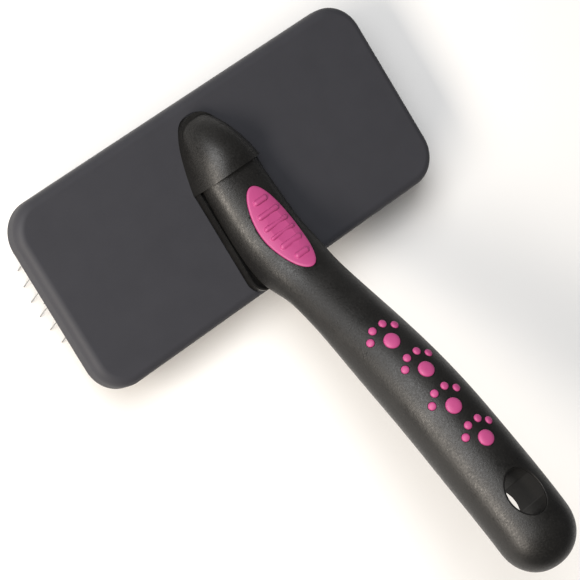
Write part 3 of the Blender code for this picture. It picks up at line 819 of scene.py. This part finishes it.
def foundation_rubber():
    """Rubber-faced cloth: the weave shows through as small squares."""
    if "foundation_rubber" in bpy.data.materials:
        return bpy.data.materials["foundation_rubber"]
    base = bpy.context.scene.brush_colours.cloth
    made, n, shader = new_material("foundation_rubber")
    where = n.add("ShaderNodeTexCoord").outputs["Object"]
    threads = []
    for direction in ("X", "Y"):
        wave = n.add(
            "ShaderNodeTexWave",
            {"Vector": where, "Scale": 420.0, "Distortion": 1.2, "Detail": 2.0},
            bands_direction=direction,
        )
        threads.append(wave.outputs["Fac"])
    weave = n.math("MULTIPLY", threads[0], threads[1])
    dust = n.noise(where, 900.0, 4.0, 0.6)
    broad = n.noise(where, 90.0, 2.0, 0.5)
    low, high = (*(0.65 * c for c in base), 1), (*(1.4 * c for c in base), 1)
    tone = n.mix(n.math("MULTIPLY", n.math("ADD", weave, dust), 0.5), low, high)
    tone = n.mix(n.spread(broad, 0.5, 0.8, 0.0, 0.25), tone, (0.13, 0.125, 0.12, 1))
    n.tree.links.new(tone, shader.inputs["Base Color"])
    n.tree.links.new(n.spread(dust, 0.3, 0.7, 0.62, 0.85), shader.inputs["Roughness"])
    height = n.math("ADD", weave, n.math("MULTIPLY", dust, 0.3))
    bump = n.add("ShaderNodeBump", {"Height": height, "Distance": 0.00008, "Strength": 0.7})
    n.tree.links.new(bump.outputs["Normal"], shader.inputs["Normal"])
    return made


def cushion_foam():
    """Closed-cell foam: small round cells with darker hollows."""
    if "cushion_foam" in bpy.data.materials:
        return bpy.data.materials["cushion_foam"]
    base = bpy.context.scene.brush_colours.foam
    made, n, shader = new_material("cushion_foam")
    where = n.add("ShaderNodeTexCoord").outputs["Object"]
    cells = n.add("ShaderNodeTexVoronoi", {"Vector": where, "Scale": 2600.0}).outputs["Distance"]
    broad = n.noise(where, 200.0, 3.0, 0.5)
    low, high = (*(0.5 * c for c in base), 1), (*(1.2 * c for c in base), 1)
    tone = n.mix(n.math("MULTIPLY", n.math("ADD", cells, broad), 0.6), high, low)
    n.tree.links.new(tone, shader.inputs["Base Color"])
    n.tree.links.new(n.spread(cells, 0.0, 0.6, 0.8, 0.95), shader.inputs["Roughness"])
    bump = n.add("ShaderNodeBump", {"Height": cells, "Distance": 0.0001, "Strength": 0.8})
    n.tree.links.new(bump.outputs["Normal"], shader.inputs["Normal"])
    return made


# ---------------------------------------------------------------- pan and saddle


def saddle_outline(grow, nose_points=36, corner_points=12):
    """Plan outline of the saddle's foot, grown outwards: a nose ahead, round corners behind."""
    half = SADDLE_HALF_WIDTH + grow
    tip, rear = HOOD_TIP - grow, SADDLE_REAR + grow
    corner = SADDLE_CORNER + grow
    side = []
    nose_half = half - NOSE_INSET
    for i in range(nose_points):
        share = math.sin(math.pi / 2 * i / nose_points)
        reach = MOUTH + (tip - MOUTH) * share
        side.append((nose_half * (1 - share) ** HOOD_NOSE, reach))
    side.append((NOSE_BLUNT * half, tip))
    side.reverse()
    side.append((half - RAIL_TAPER, MOUTH + NOSE_INSET))
    for i in range(corner_points):
        angle = math.pi / 2 * i / (corner_points - 1)
        x = half - corner * (1 - math.cos(angle))
        side.append((x, rear - corner * (1 - math.sin(angle))))
    right = [(x, -reach) for x, reach in side]
    left = [(-x, y) for x, y in reversed(right)]
    return right + left


def hood_section(reach, wall=0.0):
    """Half width and crown height of the hood, inset by a wall."""
    share = min(max((MOUTH - reach) / HOOD_LENGTH, 0.0), 0.9985)
    half_width = HOOD_HALF_WIDTH * (1 - share) ** HOOD_NOSE
    crown = HOOD_HEIGHT * (1 - share**HOOD_CROWN) ** 0.8
    return half_width - wall, crown - wall


def hood_arch(reach, wall, base, lean=0.0, points=48):
    """One arch of the hood, from its right foot to its left."""
    half_width, crown = hood_section(reach, wall)
    ring = []
    for i in range(points):
        angle = math.pi * i / (points - 1)
        across, rise = math.cos(angle), max(math.sin(angle), 0.0) ** HOOD_SHOULDER
        x = half_width * math.copysign(abs(across) ** HOOD_SHOULDER, across)
        z = base + (crown - base) * rise
        y = -reach + lean * (z - base) / HOOD_HEIGHT
        ring.append(DATUM + Vector((x, y, z)))
    return ring


def hood_rings(wall, base, start, end, steps=36):
    """Arches from the mouth to the nose, the first one leaning back with the mouth."""
    rings = []
    for i in range(steps + 1):
        share = math.sin(math.pi / 2 * i / steps)
        lean = HOOD_LEAN * (1 - share)
        rings.append(hood_arch(start + (end - start) * share, wall, base, lean))
    return rings


def tray_outline(corner_points=12):
    """Plan outline of the room between the rails."""
    half = SADDLE_HALF_WIDTH - RAIL_WIDTH
    back = SADDLE_REAR - RAIL_WIDTH
    corner = SADDLE_CORNER - RAIL_WIDTH
    side = [(half - RAIL_TAPER, MOUTH - 0.3 * MM)]
    for i in range(corner_points):
        angle = math.pi / 2 * i / (corner_points - 1)
        x = half - corner * (1 - math.cos(angle))
        side.append((x, back - corner * (1 - math.sin(angle))))
    right = [(x, -reach) for x, reach in side]
    left = [(-x, y) for x, y in reversed(right)]
    return right + left


class BrushHeadShell(bpy.types.Operator):
    """Build the pan: one wall round an open underside, with a seat for the saddle."""

    bl_idname = "brush.head_shell"
    bl_label = "Head Shell"

    def execute(self, context):
        sizes = context.scene.brush_head
        corner, edge = sizes.corner, sizes.back_edge
        inner = (HEAD_LENGTH - 2 * WALL, HEAD_WIDTH - 2 * WALL)
        rim = RIM_ROUNDING
        rings = [rounded_rectangle(*(s - 1 * MM for s in inner), corner - WALL, -ROOF)]
        rings.append(rounded_rectangle(*inner, corner - WALL, -ROOF - 0.5 * MM))
        for i in range(4):
            turn = math.pi / 2 * i / 3
            grow = 2 * rim * (1 - math.cos(turn))
            z = -SKIRT_DEPTH + rim * (1 - math.sin(turn))
            rings.append(rounded_rectangle(*(s + grow for s in inner), corner - WALL, z))
        for i in range(5):
            turn = math.pi / 2 * i / 4
            inset = rim * (1 - math.sin(turn))
            z = -SKIRT_DEPTH + rim * (1 - math.cos(turn))
            size = (HEAD_LENGTH - 2 * inset, HEAD_WIDTH - 2 * inset, corner - inset)
            rings.append(rounded_rectangle(*size, z))
        steps = 14
        for i in range(steps + 1):
            turn = math.pi / 2 * i / steps
            inset = edge * (1 - math.cos(turn))
            z = -edge * (1 - math.sin(turn))
            size = (HEAD_LENGTH - 2 * inset, HEAD_WIDTH - 2 * inset, corner - inset)
            rings.append(rounded_rectangle(*size, z))
        shell = place("head_shell_moulded", loft("head_shell_moulded", rings))
        gap = sizes.seat_gap
        combine(shell, prism("seat", saddle_outline(gap), -0.5 * MM, 1 * MM))
        smooth(shell)
        settle(shell, "brush", ["head_shell"], shell_plastic())
        return {"FINISHED"}


class BrushSaddle(bpy.types.Operator):
    """Build the saddle: hood, plate and rails that hold the handle."""

    bl_idname = "brush.saddle"
    bl_label = "Handle Saddle"

    def execute(self, context):
        plate = prism("handle_saddle_moulded", saddle_outline(0), SADDLE_FOOT, RAIL_TOP)
        saddle = place("handle_saddle_moulded", plate)
        hood = loft("hood", hood_rings(0, SADDLE_FOOT - 0.2 * MM, MOUTH, HOOD_TIP))
        combine(saddle, hood, "UNION")
        inside = hood_rings(HOOD_WALL, SADDLE_FLOOR, MOUTH + 1 * MM, HOOD_TIP + HOLLOW_SETBACK)
        combine(saddle, loft("inside", inside))
        low, high = SADDLE_FLOOR - 0.1 * MM, HOOD_HEIGHT / 2
        combine(saddle, prism("tray", tray_outline(), low, high))
        smooth(saddle)
        settle(saddle, "brush", ["handle_saddle"], soft_black())
        return {"FINISHED"}


# ---------------------------------------------------------------- handle


def handle_rings(start, end, steps, points):
    """Rings along the handle, closer together where the end rounds off."""
    shoulder = HANDLE_REACH - END_ROUNDING
    reaches = [start + (shoulder - start) * i / steps for i in range(steps + 1)]
    turn = math.asin(min((end - shoulder) / END_ROUNDING, 1.0))
    reaches += [shoulder + END_ROUNDING * math.sin(turn * i / 26) for i in range(1, 27)]
    return [Section(reach).ring(points) for reach in reaches]


def hole_ring(half_width, half_length, lift, below, points=72):
    """A ring round the hanging hole, laid on the grip and lifted off it."""
    centre = distance_at(HANDLE_REACH - HOLE_SETBACK)
    turn = -1 if below else 1
    ring = []
    middle = Section(HANDLE_REACH - HOLE_SETBACK)
    for i in range(points):
        angle = 2 * math.pi * i / points
        along, across = half_length * math.sin(angle), half_width * math.cos(angle)
        point = middle.centre + middle.along * along + Vector((across, 0, 0))
        section = Section(reach_at(centre + along))
        touch = section.surface(across, below=below)[0]
        height = (touch - point).dot(middle.up) + turn * lift
        ring.append(point + middle.up * height)
    return ring


def hole_cutter(rounding, steps=6):
    """The hanging hole with a rounded rim at both faces of the grip."""
    sides = []
    for below in (True, False):
        rings = []
        for i in range(steps + 1):
            turn = math.pi / 2 * i / steps
            grow = rounding * (1 - math.cos(turn))
            lift = -rounding * (1 - math.sin(turn))
            rings.append(
                hole_ring(HOLE_HALF_WIDTH + grow, HOLE_HALF_LENGTH + grow, lift, below)
            )
        half_width, half_length = HOLE_HALF_WIDTH + rounding, HOLE_HALF_LENGTH + rounding
        rings.append(hole_ring(half_width, half_length, 3 * MM, below))
        sides.append(rings)
    return loft("hanging_hole", sides[0][::-1] + sides[1])


def leaf_ring(centre, lift, grow=0.0, share=1.0, points=120):
    """A ring of the thumb rest's oval, laid on the grip."""
    ring = []
    for i in range(points):
        angle = 2 * math.pi * i / points
        distance = centre + share * (THUMB_HALF_LENGTH + grow) * math.cos(angle)
        across = share * (THUMB_HALF_WIDTH + grow) * math.sin(angle)
        ring.append(Section(reach_at(distance)).surface(across, lift)[0])
    return ring


def thumb_centre():
    """Distance of the thumb rest's middle along the handle."""
    return distance_at(MOUTH + THUMB_SETBACK) + THUMB_HALF_LENGTH


def frame_on(point, normal, along):
    """A placing matrix with Z along the normal and Y along the given direction."""
    side = along.cross(normal).normalized()
    forward = normal.cross(side)
    rotation = Matrix((side, forward, normal)).transposed().to_4x4()
    return Matrix.Translation(point) @ rotation


def paw_places():
    """Name, placing matrix, radius and dome of each pad and toe."""
    hole_front = distance_at(HANDLE_REACH - HOLE_SETBACK) - HOLE_HALF_LENGTH
    for paw in range(PAWS):
        pad = hole_front - PAW_HOLE_GAP - (PAWS - 1 - paw) * PAW_PITCH
        sidestep = PAW_SIDESTEP * (1 if paw % 2 else -1)
        spots = [(f"paw_{paw + 1}_pad", 0, 0, PAD_RADIUS, PAD_DOME)]
        for toe, (ahead, aside) in enumerate(TOES, 1):
            spots.append((f"paw_{paw + 1}_toe_{toe}", ahead, aside, TOE_RADIUS, TOE_DOME))
        for name, ahead, aside, radius, dome in spots:
            section = Section(reach_at(pad - ahead))
            point, normal = section.surface(sidestep + aside)
            yield name, frame_on(point, normal, section.along), radius, dome


class BrushGrip(bpy.types.Operator):
    """Build the soft grip, with pockets for the inlays and the hanging hole."""

    bl_idname = "brush.grip"
    bl_label = "Grip"

    def execute(self, context):
        rings = handle_rings(GRIP_START, HANDLE_REACH - 0.001 * MM, 130, 96)
        grip = place("handle_grip_moulded", loft("handle_grip_moulded", rings))
        combine(grip, hole_cutter(HOLE_ROUNDING))
        centre = thumb_centre()
        pocket = [leaf_ring(centre, -THUMB_DEPTH, INLAY_GAP, share) for share in (0.02, 0.5, 1)]
        pocket += [leaf_ring(centre, -0.12 * MM, INLAY_GAP)]
        pocket += [leaf_ring(centre, 0.3 * MM, INLAY_GAP + 0.4 * MM)]
        pocket += [leaf_ring(centre, 1.5 * MM, INLAY_GAP, share) for share in (0.9, 0.4, 0.02)]
        combine(grip, loft("thumb_pocket", pocket))
        bm = bmesh.new()
        for _, matrix, radius, _ in paw_places():
            wide = radius + INLAY_GAP
            bmesh.ops.create_cone(
                bm,
                segments=40,
                cap_ends=True,
                depth=2 * INLAY_DEPTH,
                radius1=wide,
                radius2=wide,
                matrix=matrix,
            )
        combine(grip, finish_mesh("paw_pockets", bm))
        smooth(grip, 45)
        settle(grip, "brush", ["handle_grip"], soft_black())
        return {"FINISHED"}


class BrushHoleLining(bpy.types.Operator):
    """Build the tube that lines the hanging hole."""

    bl_idname = "brush.hole_lining"
    bl_label = "Hole Lining"

    def execute(self, context):
        profile = (
            (LINING_GAP, -2 * LINING_LIP),
            (2 * LINING_GAP, -LINING_LIP),
            (0.7 * LINING_WALL, -LINING_LIP),
            (LINING_WALL, -1.7 * LINING_LIP),
        )
        rings = []
        for below, order in ((True, profile[::-1]), (False, profile)):
            for inset, lift in order:
                half_width, half_length = HOLE_HALF_WIDTH - inset, HOLE_HALF_LENGTH - inset
                rings.append(hole_ring(half_width, half_length, lift, below))
        bm = bmesh.new()
        loops = [[bm.verts.new(point) for point in ring] for ring in rings]
        count = len(loops[0])
        for low, high in zip(loops, loops[1:] + loops[:1]):
            for i in range(count):
                j = (i + 1) % count
                bm.faces.new((low[i], low[j], high[j], high[i]))
        lining = place("hang_hole_lining_moulded", finish_mesh("hang_hole_lining_moulded", bm))
        settle(lining, "brush", ["hang_hole_lining"], core_black())
        return {"FINISHED"}


# ---------------------------------------------------------------- inlays


def rib_height(offset, across, radius, tall):
    """Height of the ribs above the thumb rest at this place."""
    best = 0.0
    for rib in range(RIBS):
        middle = (rib - (RIBS - 1) / 2) * RIB_PITCH
        if abs(offset - middle) >= radius:
            continue
        half = RIB_HALF_LENGTHS[min(rib, RIBS - 1 - rib)]
        beyond = max(abs(across) - half, 0.0)
        near = math.hypot(offset - middle, beyond) / radius
        if near < 1:
            best = max(best, tall * math.sqrt(1 - near**2))
    return best


class BrushThumbRest(bpy.types.Operator):
    """Build the leaf-shaped thumb rest with its cross ribs."""

    bl_idname = "brush.thumb_rest"
    bl_label = "Thumb Rest"

    def execute(self, context):
        sizes = context.scene.brush_inlays
        centre = thumb_centre()
        columns = 300
        rows = 110
        bm = bmesh.new()
        grid = []
        for i in range(columns + 1):
            along = -math.cos(math.pi * i / columns)
            along = 0.9995 * (0.35 * along + 0.65 * (2 * i / columns - 1))
            room = math.sqrt(1 - along**2)
            line = []
            for j in range(rows + 1):
                share = math.sin(math.pi / 2 * (2 * j / rows - 1))
                offset = along * THUMB_HALF_LENGTH
                across = share * room * THUMB_HALF_WIDTH
                radial = math.hypot(along, share * room)
                edge = min((1 - radial) * THUMB_HALF_WIDTH / THUMB_ROUNDING, 1.0)
                lift = THUMB_PROUD * math.sqrt(max(1 - (1 - edge) ** 2, 0.0))
                lift += rib_height(offset, across, sizes.rib_radius, sizes.rib_height)
                section = Section(reach_at(centre + offset))
                line.append(bm.verts.new(section.surface(across, lift)[0]))
            grid.append(line)
        for low, high in zip(grid, grid[1:]):
            for j in range(rows):
                bm.faces.new((low[j], low[j + 1], high[j + 1], high[j]))
        boundary = (
            [line[0] for line in grid]
            + grid[-1][1:]
            + [line[-1] for line in reversed(grid[:-1])]
            + grid[0][-2:0:-1]
        )
        down = Section(reach_at(centre)).up * -THUMB_THICKNESS
        floor = [bm.verts.new(v.co + down) for v in boundary]
        for i in range(len(boundary)):
            j = (i + 1) % len(boundary)
            bm.faces.new((boundary[i], boundary[j], floor[j], floor[i]))
        bm.faces.new(floor)
        rest = place("thumb_rest_ribbed", finish_mesh("thumb_rest_ribbed", bm, 60))
        settle(rest, "brush", ["thumb_rest"], inlay_rubber())
        return {"FINISHED"}


class BrushPawPrints(bpy.types.Operator):
    """Build the domed pads and toes of the paw prints."""

    bl_idname = "brush.paw_prints"
    bl_label = "Paw Prints"

    def execute(self, context):
        for name, matrix, radius, dome in paw_places():
            profile = [(radius, -BUTTON_STEM), (radius, -0.05 * MM)]
            for i in range(1, 14):
                turn = math.pi / 2 * i / 14
                profile.append((radius * math.cos(turn) ** 0.8, dome * math.sin(turn)))
            profile.append((radius * 0.02, dome))
            rings = []
            for r, z in profile:
                angles = (2 * math.pi * i / 40 for i in range(40))
                rings.append(
                    [matrix @ Vector((r * math.cos(a), r * math.sin(a), z)) for a in angles]
                )
            button = place(name + "_dome", loft(name + "_dome", rings))
            settle(button, "brush", [name], inlay_rubber())
        return {"FINISHED"}


# ---------------------------------------------------------------- pin bed


def slab(name, low, high, edge, crown=0.0, steps=5):
    """A flat pad with rounded edges and a crowned face on both sides."""
    length, width = high.x - low.x, high.y - low.y
    corner = BED_CORNER
    base, top = low.z - DATUM.z, high.z - DATUM.z
    rings = [rounded_rectangle(length * 0.5, width * 0.3, corner, base)]
    rings.append(rounded_rectangle(length - 6 * edge, width - 6 * edge, corner, base + crown / 3))
    for i in range(steps + 1):
        turn = math.pi / 2 * i / steps
        inset = edge * (1 - math.sin(turn))
        z = base + crown + edge * (1 - math.cos(turn))
        size = (length - 2 * inset, width - 2 * inset, corner - inset)
        rings.append(rounded_rectangle(*size, z))
    for i in range(steps + 1):
        turn = math.pi / 2 * i / steps
        inset = edge * (1 - math.cos(turn))
        z = top - crown - edge * (1 - math.sin(turn))
        size = (length - 2 * inset, width - 2 * inset, corner - inset)
        rings.append(rounded_rectangle(*size, z))
    rings.append(rounded_rectangle(length - 6 * edge, width - 6 * edge, corner, top - crown / 3))
    rings.append(rounded_rectangle(length * 0.5, width * 0.3, corner, top))
    return loft(name, rings)


class BrushPinBed(bpy.types.Operator):
    """Build the foam cushion and the rubber-faced foundation."""

    bl_idname = "brush.pin_bed"
    bl_label = "Pin Bed"

    def execute(self, context):
        foam_mesh = slab("bed_cushion_foam", CUSHION_LOW, CUSHION_HIGH, 0.5 * MM, 0.12 * MM)
        foam = place("bed_cushion_foam", foam_mesh)
        for side in (-1, 1):
            outline = []
            for i in range(40):
                angle = 2 * math.pi * i / 40
                x = side * SCREW_SIDE + SCREW_RELIEF * math.cos(angle)
                outline.append((x, -SCREW_REACH + SCREW_RELIEF * math.sin(angle)))
            combine(foam, prism("relief", outline, -3 * SKIRT_DEPTH, 0))
        smooth(foam)
        settle(foam, "pin_bed", ["bed_cushion"], cushion_foam())
        cloth = place(
            "bed_foundation_faced",
            slab("bed_foundation_faced", CLOTH_LOW, CLOTH_HIGH, 0.3 * MM),
        )
        settle(cloth, "pin_bed", ["bed_foundation"], foundation_rubber())
        return {"FINISHED"}


def wire_loops(root, pins, tip_drop):
    """Centre, direction and radius of each ring down one bent pin."""
    radius = pins.wire / 2
    knee_shift = pins.knee * math.tan(pins.root_lean)
    knee = root + Vector((0, knee_shift, -pins.knee))
    fall = tip_drop - pins.knee
    tip = knee + Vector((0, -fall * math.tan(pins.tip_lean), -fall))
    first = (knee - root).normalized()
    last = (tip - knee).normalized()
    early = (first * 0.7 + last * 0.3).normalized()
    late = (first * 0.3 + last * 0.7).normalized()
    yield root - first * PIN_ROOT, first, radius
    yield root, first, radius
    yield knee - first * PIN_BEND, first, radius
    yield knee - first * PIN_BEND * 0.3, early, radius
    yield knee + last * PIN_BEND * 0.3, late, radius
    yield knee + last * PIN_BEND, last, radius
    yield tip - last * 0.12 * MM, last, radius
    yield tip - last * 0.03 * MM, last, radius * 0.7
    yield tip, last, radius * 0.3


class BrushPinWires(bpy.types.Operator):
    """Build the field of bent wire pins in staggered rows."""

    bl_idname = "brush.pin_wires"
    bl_label = "Pin Wires"

    def execute(self, context):
        pins = context.scene.brush_pins
        face = CLOTH_LOW.z
        tip_drop = face - TIPS_LOW - TIP_CLEARANCE
        bm = bmesh.new()
        for row in range(pins.rows):
            y = (row - (pins.rows - 1) / 2) * pins.row_pitch
            sagitta = pins.field_end - math.sqrt(pins.field_end**2 - y**2)
            half = pins.field_half - sagitta - (0 if row % 2 else pins.pin_pitch / 2)
            count = int(round(2 * half / pins.pin_pitch)) + 1
            for i in range(count):
                x = -half + 2 * half * i / (count - 1)
                root = Vector((DATUM.x + x, DATUM.y + y, face))
                loops = []
                for centre, way, radius in wire_loops(root, pins, tip_drop):
                    across = way.cross(Vector((1, 0, 0))).normalized()
                    loop = []
                    for k in range(WIRE_SIDES):
                        angle = 2 * math.pi * k / WIRE_SIDES
                        offset = Vector((1, 0, 0)) * math.cos(angle) + across * math.sin(angle)
                        loop.append(bm.verts.new(centre + offset * radius))
                    loops.append(loop)
                for low, high in zip(loops, loops[1:]):
                    for k in range(WIRE_SIDES):
                        m = (k + 1) % WIRE_SIDES
                        bm.faces.new((low[k], low[m], high[m], high[k]))
                bm.faces.new(loops[0][::-1])
                bm.faces.new(loops[-1])
        wires = place("pin_wires", finish_mesh("pin_wires", bm, 60))
        rows = [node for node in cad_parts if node.startswith("pin_row_")]
        settle(wires, "pin_bed", sorted(rows), drawn_steel())
        return {"FINISHED"}


class BrushHiddenParts(bpy.types.Operator):
    """Give the handle core and the screws, which keep their CAD shape, their materials."""

    bl_idname = "brush.hidden_parts"
    bl_label = "Core and Screws"

    def execute(self, context):
        looks = {
            "handle_core": core_black(),
            "saddle_screw_left": drawn_steel(),
            "saddle_screw_right": drawn_steel(),
        }
        for node, look in looks.items():
            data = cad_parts[node].data
            data.materials.clear()
            data.materials.append(look)
        return {"FINISHED"}


# ---------------------------------------------------------------- stage


def aim(item, target):
    """Turns the light to face the target."""
    item.rotation_mode = "QUATERNION"
    item.rotation_quaternion = (target - item.location).to_track_quat("-Z", "Y")


def area_light(name, where, target, size, size_y, power, tint=(1, 1, 1)):
    """A rectangular soft light at this place, facing the target."""
    light = bpy.data.lights.new(name, "AREA")
    light.shape = "RECTANGLE"
    light.size = size
    light.size_y = size_y
    light.energy = power
    light.color = tint
    item = place(name, light)
    item.location = where
    aim(item, target)
    return item


class BrushStage(bpy.types.Operator):
    """Set the floor, the soft lights and the camera."""

    bl_idname = "brush.stage"
    bl_label = "Stage"

    def execute(self, context):
        scene = context.scene
        sizes = scene.brush_stage
        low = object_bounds()[0]

        bm = bmesh.new()
        bmesh.ops.create_grid(bm, x_segments=1, y_segments=1, size=4)
        bmesh.ops.translate(bm, verts=bm.verts, vec=(0, 0, low.z))
        floor = place("floor", finish_mesh("floor", bm))
        made, n, shader = new_material("floor_card")
        where = n.add("ShaderNodeTexCoord").outputs["Object"]
        base = sizes.floor
        fibre = n.noise(where, 60.0, 3.0, 0.5)
        tone = n.mix(fibre, (*(0.985 * c for c in base), 1), (*base, 1))
        n.tree.links.new(tone, shader.inputs["Base Color"])
        shader.inputs["Roughness"].default_value = 0.9
        shader.inputs["Specular IOR Level"].default_value = 0.1
        floor.data.materials.append(made)
        floor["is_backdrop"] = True

        world = bpy.data.worlds.new("surround")
        world.use_nodes = True
        back = world.node_tree.nodes["Background"]
        back.inputs["Color"].default_value = (1, 1, 1, 1)
        back.inputs["Strength"].default_value = sizes.surround
        scene.world = world

        middle = DATUM + STAGE_MIDDLE
        area_light("key_light", middle + KEY_PLACE, middle, 0.7, 0.5, sizes.key)
        side = middle + SIDE_PLACE
        area_light("side_light", side, middle, 0.5, 0.16, sizes.side, (1, 0.91, 0.8))

        lens = bpy.data.cameras.new("camera")
        lens.lens = sizes.lens
        lens.sensor_width = 36
        lens.clip_start = 0.05
        lens.clip_end = 20
        camera = place("camera", lens)
        towards = CAMERA_RIGHT.cross(CAMERA_UP)
        turn = Matrix((CAMERA_RIGHT, CAMERA_UP, towards)).transposed().to_4x4()
        camera.matrix_world = Matrix.Translation(DATUM + CAMERA_PLACE) @ turn
        scene.camera = camera
        scene.view_settings.view_transform = "Standard"
        return {"FINISHED"}


# ---------------------------------------------------------------- add-on


class BrushPanel(bpy.types.Panel):
    """Sizes, colours and pieces of the brush."""

    bl_idname = "VIEW3D_PT_slicker_brush"
    bl_label = "Slicker Brush"
    bl_space_type = "VIEW_3D"
    bl_region_type = "UI"
    bl_category = "Brush"

    def draw(self, context):
        layout = self.layout
        scene = context.scene
        for title, group in SETTINGS:
            box = layout.box()
            box.label(text=title)
            settings = getattr(scene, group)
            for name in settings.bl_rna.properties.keys():
                if name not in ("rna_type", "name"):
                    box.prop(settings, name)
        for piece in PIECES:
            layout.operator(piece.bl_idname)


SETTINGS = (
    ("Head", "brush_head"),
    ("Pins", "brush_pins"),
    ("Inlays", "brush_inlays"),
    ("Colours", "brush_colours"),
    ("Stage", "brush_stage"),
)
GROUPS = (
    ("brush_head", BrushHeadSettings),
    ("brush_pins", BrushPinSettings),
    ("brush_inlays", BrushInlaySettings),
    ("brush_colours", BrushColourSettings),
    ("brush_stage", BrushStageSettings),
)
PIECES = (
    BrushHeadShell,
    BrushSaddle,
    BrushGrip,
    BrushHoleLining,
    BrushThumbRest,
    BrushPawPrints,
    BrushPinBed,
    BrushPinWires,
    BrushHiddenParts,
    BrushStage,
)


def register():
    for name, kind in GROUPS:
        bpy.utils.register_class(kind)
        setattr(bpy.types.Scene, name, PointerProperty(type=kind))
    for kind in PIECES:
        bpy.utils.register_class(kind)
    bpy.utils.register_class(BrushPanel)


def unregister():
    bpy.utils.unregister_class(BrushPanel)
    for kind in reversed(PIECES):
        bpy.utils.unregister_class(kind)
    for name, kind in reversed(GROUPS):
        delattr(bpy.types.Scene, name)
        bpy.utils.unregister_class(kind)


def main():
    register()
    for piece in PIECES:
        area, call = piece.bl_idname.split(".")
        getattr(getattr(bpy.ops, area), call)()


if __name__ == "__main__":
    main()
